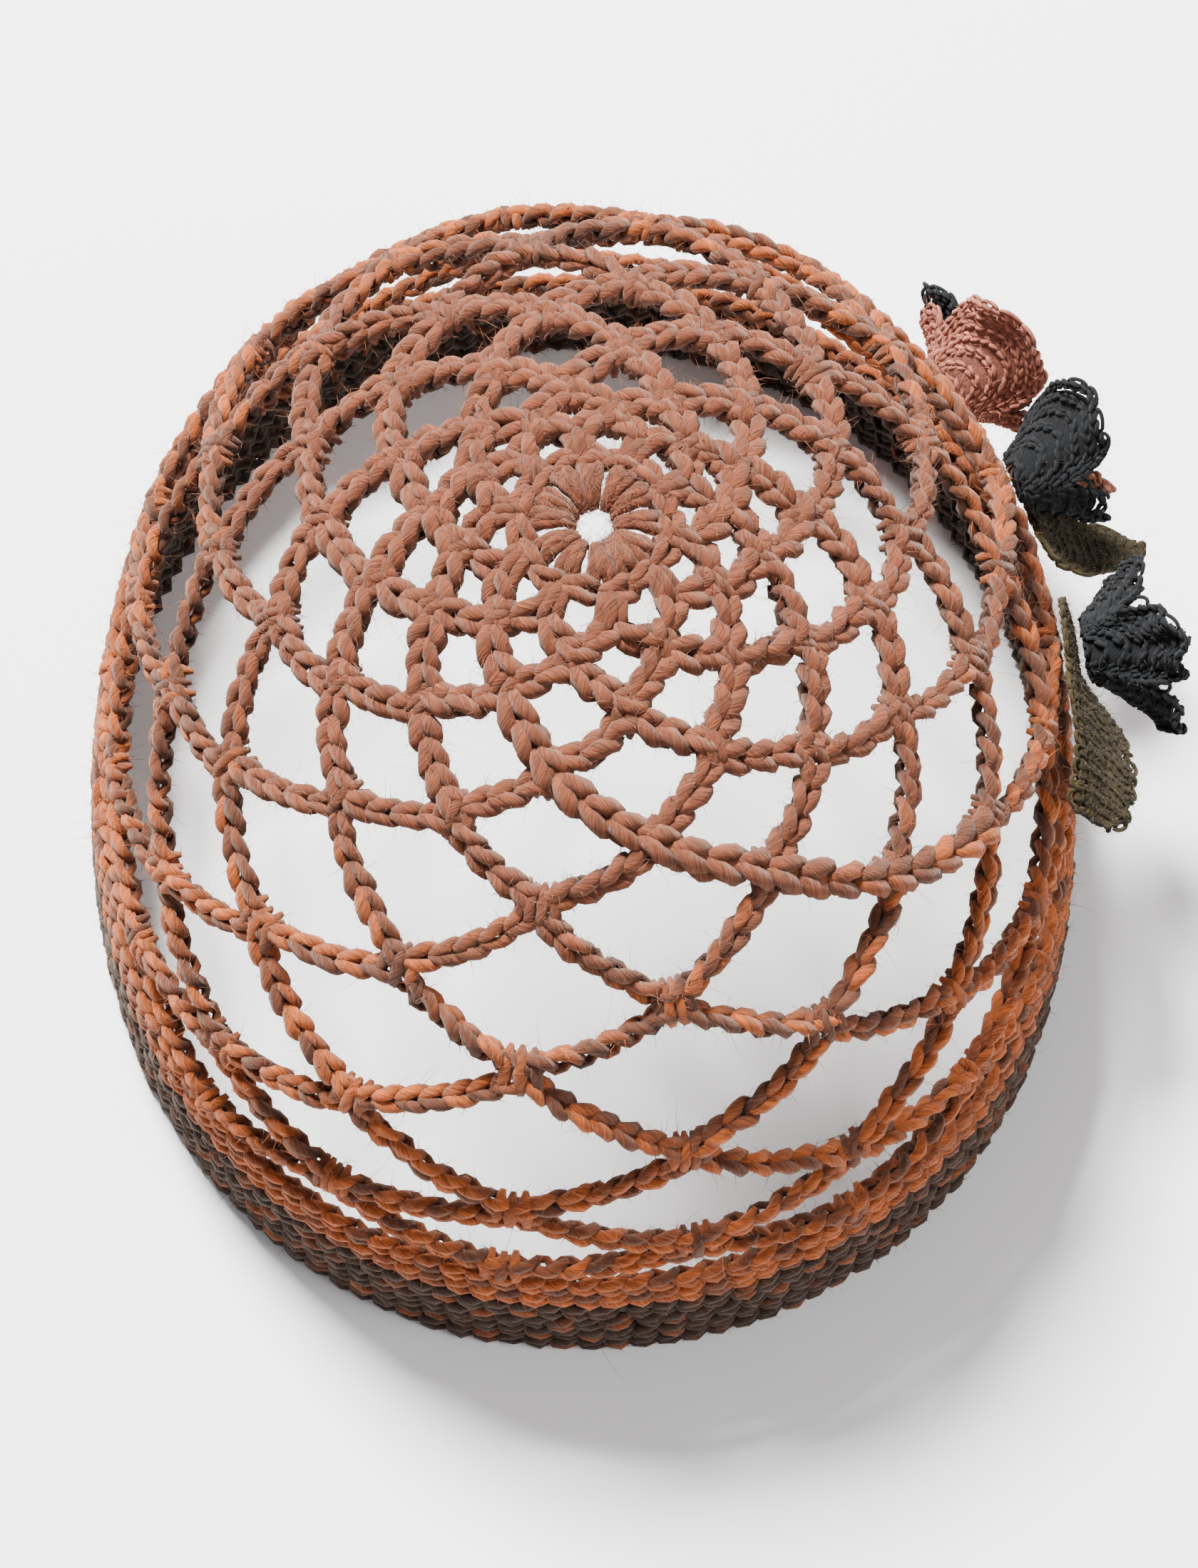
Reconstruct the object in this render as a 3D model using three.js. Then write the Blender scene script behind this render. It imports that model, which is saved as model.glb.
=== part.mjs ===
import * as THREE from 'three';

// A crochet flapper hat: a ring of stitches at the crown, an open net of
// chain-stitch cords that fans out from it in ten repeats, a dense band round
// the rim, and a spray of two layered flowers and two leaves on one side.
// Lengths are in millimetres and angles in degrees. +Z is up and the rim rests
// on Z = 0. An azimuth is counted from the back (-Y) towards the flowers (+X).

// Outside size of the head form
const HALF_WIDTH = 84;
const HALF_LENGTH = 96.5;
const PLAN_POWER = 2.12;
const RIM_ARC = 168;

// The back meridian: how steeply the form falls at each arc length from the crown
const MERIDIAN = [
  { arc: 0, slope: 0 },
  { arc: 30, slope: 17.5 },
  { arc: 60, slope: 30.7 },
  { arc: 90, slope: 53.4 },
  { arc: 115, slope: 74 },
  { arc: 140, slope: 82 },
  { arc: 168, slope: 91 },
];
const MERIDIAN_STEP = 2;

// Net: cords and the knots where they cross
const REPEATS = 10;
const PHASE = 7.6;
const CORD_THICKNESS = 4;
const SHOULDER_DEPTH = 1.1;
const KNOT_RISE = 0.6;
const CORD_BOW = 0.05;
const ROSETTE_EDGE_ARC = 11.2;
const PIECE_GAP = 0.3;
const FIRST_GAP_ARC = 13;
const LAST_GAP_ARC = 144.5;

// One row for each round of knots, from the crown outwards. arc is the mean arc
// length of the round, lean how much further it reaches at the back than on the
// sides, across and along the knot's half sizes, cord the half width of the
// cords that leave it, and bends the number of stations along each of them.
const ROUNDS = [
  { arc: 16, lean: 0.4, across: 2.7, along: 2.3, cord: 1.6, bends: 0 },
  { arc: 22.3, lean: 1.0, across: 2.9, along: 2.4, cord: 1.9, bends: 1 },
  { arc: 28.8, lean: 2.3, across: 3.0, along: 2.6, cord: 2.2, bends: 1 },
  { arc: 38.5, lean: 3.0, across: 3.3, along: 2.9, cord: 2.4, bends: 1 },
  { arc: 49, lean: 3.2, across: 3.6, along: 3.0, cord: 2.4, bends: 1 },
  { arc: 58.6, lean: 3.9, across: 3.8, along: 3.1, cord: 2.4, bends: 2 },
  { arc: 73.3, lean: 5.6, across: 3.8, along: 3.1, cord: 2.3, bends: 2 },
  { arc: 86, lean: 5.2, across: 3.8, along: 3.0, cord: 2.2, bends: 2 },
  { arc: 102.5, lean: 4.8, across: 3.8, along: 2.9, cord: 2.1, bends: 2 },
  { arc: 117.5, lean: 4.2, across: 3.8, along: 2.7, cord: 2.1, bends: 2 },
  { arc: 129, lean: 2.6, across: 3.8, along: 2.5, cord: 2.1, bends: 2 },
  { arc: 138.6, lean: 1.2, across: 3.8, along: 2.3, cord: 2.1, bends: 0 },
];

// Crown rosette: posts round a small centre hole
const ROSETTE_POSTS = 12;
const ROSETTE_STEPS_PER_POST = 3;
const ROSETTE_HOLE_ARC = 3.6;
const ROSETTE_THICKNESS = 4.2;
const ROSETTE_RELIEF = 1;

// Band: rounds of dense stitches, standing upright from the rim
const BAND_HEIGHT = 18;
const BAND_ROUNDS = 4;
const BAND_STEPS = 60;
const BAND_THICKNESS = 4;
const BAND_RIB = 0.7;

// Flowers and leaves, wrapped on the side of the crown. height is the centre's
// height above the rim, radius the reach of a petal, extra how much further the
// one towards extraAt reaches, base the radius of the flat middle, lift how far
// a petal's tip stands off it, tilt the share by which that grows towards tiltAt,
// and ruffle the swing of a petal's edge. Directions count from upwards towards
// the back.
const PETAL_THICKNESS = 2.2;
const SEAT_GAP = 0.9;
const FLOWERS = [
  {
    name: 'front_flower_outer', azimuth: 133, height: 41.5, petals: 3, turn: -14,
    radius: 12, extra: 4.5, extraAt: -10, notch: 8, base: 5.5, seat: 0,
    lift: 6.5, tilt: 0.5, tiltAt: -30, ruffle: 0.5, color: 0xa05d4a,
  },
  {
    name: 'front_flower_inner', azimuth: 133, height: 41.5, petals: 4, turn: 88,
    radius: 10, extra: 4, extraAt: 90, notch: 7.5, base: 4.5, seat: 4,
    lift: 5, tilt: 0.5, tiltAt: -40, ruffle: 0.3, color: 0x3a4046,
  },
  {
    name: 'middle_flower_outer', azimuth: 119, height: 42.5, petals: 3, turn: 12,
    radius: 11.2, extra: 2.6, extraAt: 20, notch: 7, base: 4.5, seat: 0,
    lift: 11.5, tilt: 0.15, tiltAt: -30, ruffle: 0.5, color: 0x3a4046,
  },
  {
    name: 'middle_flower_inner', azimuth: 119, height: 42.5, petals: 5, turn: -155,
    radius: 6, extra: 0.8, extraAt: -100, notch: 4.5, base: 3, seat: 2.8,
    lift: 7.5, tilt: 0.2, tiltAt: -90, ruffle: 0.3, color: 0xa8826f,
  },
  {
    name: 'side_flower', azimuth: 96, height: 44, petals: 5, turn: -30,
    radius: 12.5, extra: 2.5, extraAt: -60, notch: 9, base: 5, seat: 2.6,
    lift: 10, tilt: 0.35, tiltAt: -40, ruffle: 0.7, color: 0x3a4046,
  },
];
const PETAL_STEPS = 36;
const PETAL_RINGS = [0, 0.36, 0.7, 1];

// length and width are a leaf's own and heading the way its tip points, counted
// from upwards towards the front. It lies on the crown for its first rest, as a
// share of its length. lift is how far its tip then stands off the crown and
// tilt how much further its lower edge does where the leaf is widest. The lower
// blunt is, the rounder its ends are.
const LEAVES = [
  {
    name: 'leaf_front', azimuth: 115, height: 38, heading: -162,
    length: 15, width: 13, blunt: 0.8, rest: 0, lift: 18, tilt: 0,
  },
  {
    name: 'leaf_back', azimuth: 101, height: 48, heading: -86,
    length: 42, width: 15, blunt: 0.4, rest: 0.34, lift: 2, tilt: 11.5,
  },
];
const LEAF_STEPS = 12;
const LEAF_THICKNESS = 2.2;
const LEAF_CUP = 0.2;
const LEAF_COLOR = 0x46422c;

const CROWN_COLOR = 0xb07f66;
const BAND_COLOR = 0x6a564b;

const radians = THREE.MathUtils.degToRad;
const lerp = THREE.MathUtils.lerp;

// Reads a column of a table at a place along another column, in a straight line between rows
function column(table, key, name, value) {
  let row = 1;
  while (row < table.length - 1 && table[row][key] < value) row += 1;
  const low = table[row - 1];
  const high = table[row];
  return lerp(low[name], high[name], (value - low[key]) / (high[key] - low[key]));
}

// The back meridian as distances out from the axis (as a share of the widest) and down
function traceMeridian() {
  const trace = [{ reach: 0, drop: 0 }];
  for (let arc = MERIDIAN_STEP; arc <= RIM_ARC + 2 * MERIDIAN_STEP; arc += MERIDIAN_STEP) {
    const last = trace[trace.length - 1];
    const slope = radians(column(MERIDIAN, 'arc', 'slope', arc - MERIDIAN_STEP / 2));
    trace.push({
      reach: last.reach + Math.cos(slope) * MERIDIAN_STEP,
      drop: last.drop + Math.sin(slope) * MERIDIAN_STEP,
    });
  }
  const widest = Math.max(...trace.map((place) => place.reach));
  return trace.map((place) => ({ reach: place.reach / widest, drop: place.drop }));
}

const trace = traceMeridian();
const crownHeight = trace[Math.round(RIM_ARC / MERIDIAN_STEP)].drop;

// Distance from the axis to the outside at the widest level
function planRadius(azimuth) {
  const across = Math.abs(Math.sin(radians(azimuth))) / HALF_WIDTH;
  const along = Math.abs(Math.cos(radians(azimuth))) / HALF_LENGTH;
  return (across ** PLAN_POWER + along ** PLAN_POWER) ** (-1 / PLAN_POWER);
}

const toPoint = (azimuth, radius, z) => new THREE.Vector3(
  radius * Math.sin(radians(azimuth)),
  -radius * Math.cos(radians(azimuth)),
  z,
);

// Walks down one meridian until measure(radius, z, arc) reaches the target
function walk(azimuth, measure, target) {
  const radius = planRadius(azimuth);
  let arc = 0;
  let before = { value: measure(0, crownHeight, 0), radius: 0, z: crownHeight, arc: 0 };
  for (let step = 1; step < trace.length; step += 1) {
    const r = trace[step].reach * radius;
    const z = crownHeight - trace[step].drop;
    arc += Math.hypot(r - before.radius, z - before.z);
    const value = measure(r, z, arc);
    if (value >= target || step === trace.length - 1) {
      const share = (target - before.value) / (value - before.value);
      return {
        radius: lerp(before.radius, r, share),
        z: lerp(before.z, z, share),
        arc: lerp(before.arc, arc, share),
      };
    }
    before = { value, radius: r, z, arc };
  }
  return before;
}

const placeAtArc = (azimuth, arc) => walk(azimuth, (r, z, s) => s, arc);
const arcAtHeight = (azimuth, height) => walk(azimuth, (r, z) => -z, -height).arc;
const backRimArc = arcAtHeight(0, 0);

function outsideAt(azimuth, arc) {
  const place = placeAtArc(azimuth, arc);
  return toPoint(azimuth, place.radius, place.z);
}

function normalAt(azimuth, arc) {
  const low = Math.max(arc - 0.6, 0.4);
  const down = outsideAt(azimuth, low + 1.2).sub(outsideAt(azimuth, low));
  const side = outsideAt(azimuth + 0.6, arc).sub(outsideAt(azimuth - 0.6, arc));
  return down.cross(side).normalize();
}

// A point at a depth under the outside of the head form
function wallPoint(azimuth, arc, depth) {
  return outsideAt(azimuth, arc).addScaledVector(normalAt(azimuth, arc), -depth);
}

// The same at a fixed height, so that an edge stays level
function levelPoint(azimuth, height, depth) {
  const outside = outsideAt(azimuth, arcAtHeight(azimuth, height));
  const inward = normalAt(azimuth, arcAtHeight(azimuth, height)).setZ(0).normalize();
  return outside.addScaledVector(inward, -depth).setZ(height);
}

// Collects the faces of one closed body
class Body {
  constructor() {
    this.positions = [];
    this.indices = [];
  }

  point(vector) {
    this.positions.push(vector.x, vector.y, vector.z);
    return this.positions.length / 3 - 1;
  }

  // A convex face, its corners counterclockwise as seen from outside
  face(...corners) {
    for (let i = 1; i < corners.length - 1; i += 1) {
      this.indices.push(corners[0], corners[i], corners[i + 1]);
    }
  }

  mesh(name, color) {
    const geometry = new THREE.BufferGeometry();
    geometry.setAttribute('position', new THREE.Float32BufferAttribute(this.positions, 3));
    geometry.setIndex(this.indices);
    geometry.computeVertexNormals();
    const material = new THREE.MeshStandardMaterial({ color, roughness: 0.92, metalness: 0 });
    const mesh = new THREE.Mesh(geometry, material);
    mesh.name = name;
    return mesh;
  }
}

// A loop of sections, each a list of points in the same order, joined into a ring
function sweepRing(body, sections) {
  const loops = sections.map((section) => section.map((vector) => body.point(vector)));
  loops.forEach((loop, i) => {
    const next = loops[(i + 1) % loops.length];
    loop.forEach((corner, j) => {
      const k = (j + 1) % loop.length;
      body.face(corner, loop[k], next[k], next[j]);
    });
  });
}

// The arc length at which a round of knots lies on a given meridian
function roundArc(round, azimuth) {
  const share = arcAtHeight(azimuth, 0) / backRimArc;
  return round.arc * share + round.lean * Math.cos(radians(azimuth));
}

// The corners of a knot and of the mids of its sides, where the cords join
function makeKnot(body, round, azimuth, top, bottom) {
  const arc = roundArc(round, azimuth);
  const turn = THREE.MathUtils.radToDeg(round.across / placeAtArc(azimuth, arc).radius);
  const at = (place, depth) => body.point(wallPoint(place.azimuth, place.arc, depth));
  const corners = {
    top: { azimuth, arc: top ? top.arc : arc - round.along },
    left: { azimuth: azimuth - turn, arc },
    bottom: { azimuth, arc: bottom ? bottom.arc : arc + round.along },
    right: { azimuth: azimuth + turn, arc },
  };
  const knot = { corners, shoulder: {}, base: {}, ridge: {}, azimuth, arc };
  for (const [name, place] of Object.entries(corners)) {
    const shared = { top, bottom }[name];
    knot.shoulder[name] = shared ? shared.shoulder : at(place, SHOULDER_DEPTH);
    knot.base[name] = shared ? shared.base : at(place, CORD_THICKNESS);
  }
  const ring = ['top', 'left', 'bottom', 'right'];
  const patch = [];
  ring.forEach((name, i) => {
    const next = ring[(i + 1) % 4];
    const mid = {
      azimuth: (corners[name].azimuth + corners[next].azimuth) / 2,
      arc: (corners[name].arc + corners[next].arc) / 2,
    };
    const ridge = at(mid, 0);
    knot.ridge[name + next] = { place: mid, index: ridge };
    patch.push(knot.shoulder[name], ridge);
  });
  const centre = body.point(wallPoint(azimuth, arc, -KNOT_RISE));
  patch.forEach((corner, i) => body.face(centre, corner, patch[(i + 1) % patch.length]));
  body.face(knot.base.top, knot.base.right, knot.base.bottom, knot.base.left);
  return knot;
}

// A cord from one knot down to the next, to its right (side 1) or left (side -1)
function makeCord(body, from, to, halfWidth, bends, side) {
  const upper = side > 0 ? 'right' : 'left';
  const inner = side > 0 ? 'left' : 'right';
  const start = from.ridge[side > 0 ? 'bottomright' : 'leftbottom'];
  const end = to.ridge[side > 0 ? 'topleft' : 'righttop'];
  const station = (index) => ({
    high: { shoulder: index.high[0], base: index.high[1] },
    low: { shoulder: index.low[0], base: index.low[1] },
    ridge: index.ridge,
  });
  const stations = [station({
    high: [from.shoulder[upper], from.base[upper]],
    low: [from.shoulder.bottom, from.base.bottom],
    ridge: start.index,
  })];
  const radius = placeAtArc(start.place.azimuth, (start.place.arc + end.place.arc) / 2).radius;
  const perDegree = radians(1) * radius;
  const run = (end.place.azimuth - start.place.azimuth) * perDegree;
  const fall = end.place.arc - start.place.arc;
  const length = Math.hypot(run, fall);
  for (let i = 1; i <= bends; i += 1) {
    const share = i / (bends + 1);
    const bow = CORD_BOW * length * Math.sin(Math.PI * share);
    const place = (across, depth) => {
      const azimuth = lerp(start.place.azimuth, end.place.azimuth, share)
        + ((across - bow) * side * fall) / length / perDegree;
      const arc = lerp(start.place.arc, end.place.arc, share)
        - ((across - bow) * Math.abs(run)) / length;
      return body.point(wallPoint(azimuth, arc, depth));
    };
    stations.push(station({
      high: [place(halfWidth, SHOULDER_DEPTH), place(halfWidth, CORD_THICKNESS)],
      low: [place(-halfWidth, SHOULDER_DEPTH), place(-halfWidth, CORD_THICKNESS)],
      ridge: place(0, 0),
    }));
  }
  stations.push(station({
    high: [to.shoulder.top, to.base.top],
    low: [to.shoulder[inner], to.base[inner]],
    ridge: end.index,
  }));
  for (let i = 0; i < stations.length - 1; i += 1) {
    const [left, right] = side > 0 ? ['low', 'high'] : ['high', 'low'];
    const a = stations[i];
    const b = stations[i + 1];
    body.face(a[left].shoulder, b[left].shoulder, b.ridge, a.ridge);
    body.face(a.ridge, b.ridge, b[right].shoulder, a[right].shoulder);
    body.face(b[left].shoulder, a[left].shoulder, a[left].base, b[left].base);
    body.face(a[right].shoulder, b[right].shoulder, b[right].base, a[right].base);
    body.face(b[left].base, a[left].base, a[right].base, b[right].base);
  }
}

// The net, from the ring that closes it round the rosette to the level edge above the band
function makeNet() {
  const body = new Body();
  const netTop = ROSETTE_EDGE_ARC + PIECE_GAP;
  const netBottom = BAND_HEIGHT + PIECE_GAP;
  const spacing = 360 / REPEATS;
  const azimuthOf = (round, repeat) => PHASE + spacing * (repeat + (round % 2) / 2);
  const pair = (make) => ({ shoulder: make(SHOULDER_DEPTH), base: make(CORD_THICKNESS) });
  const topEdge = (azimuth) => ({
    arc: netTop,
    ...pair((depth) => body.point(wallPoint(azimuth, netTop, depth))),
  });
  const bottomEdge = (azimuth) => ({
    arc: arcAtHeight(azimuth, netBottom),
    ...pair((depth) => body.point(levelPoint(azimuth, netBottom, depth))),
  });
  const gapCorner = (azimuth, arc) => (
    pair((depth) => body.point(wallPoint(azimuth, arc, depth)))
  );
  const last = ROUNDS.length - 1;
  const knots = ROUNDS.map((round, i) => Array.from({ length: REPEATS }, (_, k) => {
    const azimuth = azimuthOf(i, k);
    const top = i === 0 ? topEdge(azimuth) : null;
    const bottom = i === last ? bottomEdge(azimuth) : null;
    return makeKnot(body, round, azimuth, top, bottom);
  }));

  for (let i = 0; i < last; i += 1) {
    const { cord, bends } = ROUNDS[i];
    knots[i].forEach((knot, k) => {
      const offset = i % 2;
      const right = knots[i + 1][(k + offset) % REPEATS];
      const left = knots[i + 1][(k + offset + REPEATS - 1) % REPEATS];
      const rightAzimuth = knot.azimuth + spacing / 2;
      const leftAzimuth = knot.azimuth - spacing / 2;
      makeCord(body, knot, shiftKnot(right, rightAzimuth), cord, bends, 1);
      makeCord(body, knot, shiftKnot(left, leftAzimuth), cord, bends, -1);
    });
  }

  // The ring of stitches between the first knots, down to the first gaps
  knots[0].forEach((knot, k) => {
    const next = knots[0][(k + 1) % REPEATS];
    const azimuth = knot.azimuth + spacing / 2;
    const edge = topEdge(azimuth);
    const gap = gapCorner(azimuth, FIRST_GAP_ARC);
    const left = knot.ridge.righttop.index;
    const right = next.ridge.topleft.index;
    body.face(left, gap.shoulder, edge.shoulder);
    body.face(left, edge.shoulder, knot.shoulder.top);
    body.face(left, knot.shoulder.right, gap.shoulder);
    body.face(right, edge.shoulder, gap.shoulder);
    body.face(right, gap.shoulder, next.shoulder.left);
    body.face(right, next.shoulder.top, edge.shoulder);
    body.face(gap.base, edge.base, next.base.top, next.base.left);
    body.face(gap.base, knot.base.right, knot.base.top, edge.base);
    body.face(gap.shoulder, knot.shoulder.right, knot.base.right, gap.base);
    body.face(next.shoulder.left, gap.shoulder, gap.base, next.base.left);
    body.face(knot.shoulder.top, edge.shoulder, edge.base, knot.base.top);
    body.face(edge.shoulder, next.shoulder.top, next.base.top, edge.base);
  });

  // The dense rounds under the last gaps, down to the level edge above the band
  knots[last].forEach((knot, k) => {
    const next = knots[last][(k + 1) % REPEATS];
    const azimuth = knot.azimuth + spacing / 2;
    const share = arcAtHeight(azimuth, 0) / backRimArc;
    const gap = gapCorner(azimuth, LAST_GAP_ARC * share);
    const edges = [0.25, 0.5, 0.75].map((part) => bottomEdge(knot.azimuth + spacing * part));
    const left = knot.ridge.bottomright.index;
    const right = next.ridge.leftbottom.index;
    const line = [knot, ...edges, next].map((end) => ({
      shoulder: end.corners ? end.shoulder.bottom : end.shoulder,
      base: end.corners ? end.base.bottom : end.base,
    }));
    body.face(left, line[0].shoulder, line[1].shoulder);
    body.face(left, line[1].shoulder, gap.shoulder);
    body.face(left, gap.shoulder, knot.shoulder.right);
    body.face(gap.shoulder, line[1].shoulder, line[2].shoulder, line[3].shoulder);
    body.face(right, gap.shoulder, line[3].shoulder);
    body.face(right, line[3].shoulder, line[4].shoulder);
    body.face(right, next.shoulder.left, gap.shoulder);
    body.face(line[1].base, line[0].base, knot.base.right, gap.base);
    body.face(gap.base, line[3].base, line[2].base, line[1].base);
    body.face(line[4].base, line[3].base, gap.base, next.base.left);
    body.face(knot.shoulder.right, gap.shoulder, gap.base, knot.base.right);
    body.face(gap.shoulder, next.shoulder.left, next.base.left, gap.base);
    for (let i = 0; i < 4; i += 1) {
      body.face(line[i + 1].shoulder, line[i].shoulder, line[i].base, line[i + 1].base);
    }
  });
  return body.mesh('crown_net', CROWN_COLOR);
}

// The same knot with its places counted on past a full turn, for a cord that crosses it
function shiftKnot(knot, azimuth) {
  const turn = azimuth - knot.azimuth;
  const ridge = {};
  for (const [name, mid] of Object.entries(knot.ridge)) {
    ridge[name] = { index: mid.index, place: { ...mid.place, azimuth: mid.place.azimuth + turn } };
  }
  return { ...knot, ridge };
}

function makeRosette() {
  const body = new Body();
  const steps = ROSETTE_POSTS * ROSETTE_STEPS_PER_POST;
  const width = ROSETTE_EDGE_ARC - ROSETTE_HOLE_ARC;
  const sections = Array.from({ length: steps }, (_, i) => {
    const azimuth = (i * 360) / steps;
    const post = Math.cos(radians(azimuth * ROSETTE_POSTS)) * ROSETTE_RELIEF * 0.5;
    const at = (share, depth) => (
      wallPoint(azimuth, ROSETTE_HOLE_ARC + width * share, depth)
    );
    return [
      at(0, 1.8), at(0.25, 0.3 - post), at(0.7, -0.2 - post), at(1, 1.1),
      at(1, ROSETTE_THICKNESS), at(0, ROSETTE_THICKNESS),
    ];
  });
  sweepRing(body, sections);
  return body.mesh('crown_rosette', CROWN_COLOR);
}

function makeBand() {
  const body = new Body();
  const sections = Array.from({ length: BAND_STEPS }, (_, i) => {
    const azimuth = (i * 360) / BAND_STEPS;
    const section = [];
    for (let rib = 0; rib < BAND_ROUNDS; rib += 1) {
      const foot = (BAND_HEIGHT * rib) / BAND_ROUNDS;
      section.push(levelPoint(azimuth, foot, BAND_RIB));
      section.push(levelPoint(azimuth, foot + BAND_HEIGHT / BAND_ROUNDS / 2, 0));
    }
    section.push(levelPoint(azimuth, BAND_HEIGHT, BAND_RIB));
    section.push(levelPoint(azimuth, BAND_HEIGHT, BAND_THICKNESS));
    section.push(levelPoint(azimuth, 0, BAND_THICKNESS));
    return section.reverse();
  });
  sweepRing(body, sections);
  return body.mesh('rim_band', BAND_COLOR);
}

// Carries a flat pattern onto the side of the crown: across and up are lengths
// on the wall from a centre, out is the height above it
function wrapper(azimuth, height) {
  const arc = arcAtHeight(azimuth, height);
  const degree = radians(1) * placeAtArc(azimuth, arc).radius;
  return (across, up, out) => wallPoint(azimuth + across / degree, arc - up, -out);
}

// One ring of petals: a cupped disc whose edge swings in and out between notches
function makeFlower(flower) {
  const body = new Body();
  const place = wrapper(flower.azimuth, flower.height);
  const seat = SEAT_GAP + flower.seat;
  const lobe = (angle) => (
    Math.abs(Math.cos(radians((angle - flower.turn) * flower.petals * 0.5))) ** 0.7
  );
  const towards = (angle, middle) => Math.cos(radians(angle - middle));
  const cup = (angle, r) => {
    const share = Math.max(r - flower.base, 0) / (flower.radius - flower.base);
    const lift = flower.lift * (1 + flower.tilt * towards(angle, flower.tiltAt));
    return lift * (1.35 * share - 0.35 * share * share);
  };
  const edge = (angle) => {
    const reach = flower.radius + flower.extra * towards(angle, flower.extraAt);
    return lerp(flower.notch, Math.max(reach, flower.notch), lobe(angle));
  };
  const surface = (angle, share, above) => {
    const r = lerp(flower.base, edge(angle), share);
    const swing = Math.cos(radians((angle - flower.turn) * flower.petals * 3));
    const out = seat + cup(angle, r) + flower.ruffle * swing * share ** 3 + above;
    return place(r * Math.sin(radians(angle)), r * Math.cos(radians(angle)), out);
  };
  const lower = PETAL_RINGS.map((share) => (angle) => surface(angle, share, 0));
  const upper = PETAL_RINGS.map((share) => (angle) => surface(angle, share, PETAL_THICKNESS));
  const rings = [...lower, ...upper.reverse()].map((ring) => (
    Array.from({ length: PETAL_STEPS }, (_, i) => body.point(ring((i * 360) / PETAL_STEPS)))
  ));
  for (let j = 0; j < rings.length - 1; j += 1) {
    for (let i = 0; i < PETAL_STEPS; i += 1) {
      const k = (i + 1) % PETAL_STEPS;
      body.face(rings[j][i], rings[j + 1][i], rings[j + 1][k], rings[j][k]);
    }
  }
  const under = body.point(place(0, 0, seat));
  const over = body.point(place(0, 0, seat + PETAL_THICKNESS));
  for (let i = 0; i < PETAL_STEPS; i += 1) {
    const k = (i + 1) % PETAL_STEPS;
    body.face(under, rings[0][i], rings[0][k]);
    body.face(over, rings[rings.length - 1][k], rings[rings.length - 1][i]);
  }
  return body.mesh(flower.name, flower.color);
}

// A pointed leaf with toothed sides, seated at its root and lifted towards its tip
function makeLeaf(leaf) {
  const body = new Body();
  const place = wrapper(leaf.azimuth, leaf.height);
  const heading = radians(leaf.heading);
  const sections = Array.from({ length: LEAF_STEPS + 1 }, (_, i) => {
    const share = i / LEAF_STEPS;
    const tooth = i % 2 ? 1 : 0.84;
    const fullness = Math.max(Math.sin(Math.PI * share ** 0.8), 0) ** leaf.blunt;
    const half = Math.max((leaf.width / 2) * fullness * tooth, 0.8);
    const raised = Math.max(share - leaf.rest, 0) / (1 - leaf.rest);
    const rise = leaf.lift * raised * raised;
    const slope = ((leaf.tilt * half) / leaf.width) * Math.sqrt(raised);
    return [-1, 0, 1].map((side) => {
      const forward = leaf.length * share;
      const cup = side === 0 ? 0 : LEAF_CUP * half;
      const out = SEAT_GAP + rise + cup * raised + slope * (1 - side);
      const across = side * half * Math.cos(heading) + forward * Math.sin(heading);
      const up = forward * Math.cos(heading) - side * half * Math.sin(heading);
      return {
        under: body.point(place(across, up, out)),
        over: body.point(place(across, up, out + LEAF_THICKNESS)),
      };
    });
  });
  for (let i = 0; i < LEAF_STEPS; i += 1) {
    const a = sections[i];
    const b = sections[i + 1];
    for (let j = 0; j < 2; j += 1) {
      body.face(a[j].over, a[j + 1].over, b[j + 1].over, b[j].over);
      body.face(a[j].under, b[j].under, b[j + 1].under, a[j + 1].under);
    }
    body.face(a[0].under, a[0].over, b[0].over, b[0].under);
    body.face(a[2].over, a[2].under, b[2].under, b[2].over);
  }
  for (const [end, flip] of [[sections[0], 1], [sections[LEAF_STEPS], -1]]) {
    for (let j = 0; j < 2; j += 1) {
      const corners = [end[j].under, end[j + 1].under, end[j + 1].over, end[j].over];
      body.face(...(flip > 0 ? corners : corners.reverse()));
    }
  }
  return body.mesh(leaf.name, LEAF_COLOR);
}

const hat = new THREE.Group();
hat.name = 'flapper_hat';
hat.add(makeRosette(), makeNet(), makeBand());
FLOWERS.forEach((flower) => hat.add(makeFlower(flower)));
LEAVES.forEach((leaf) => hat.add(makeLeaf(leaf)));

// The origin is the middle of the hat's extent, at the level of the rim
const extent = new THREE.Box3().setFromObject(hat, true);
const middle = extent.getCenter(new THREE.Vector3());
hat.position.set(-middle.x, -middle.y, -extent.min.z);

export default hat;
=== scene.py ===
import math

import bpy
import numpy as np
from mathutils import Matrix, Vector


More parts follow.
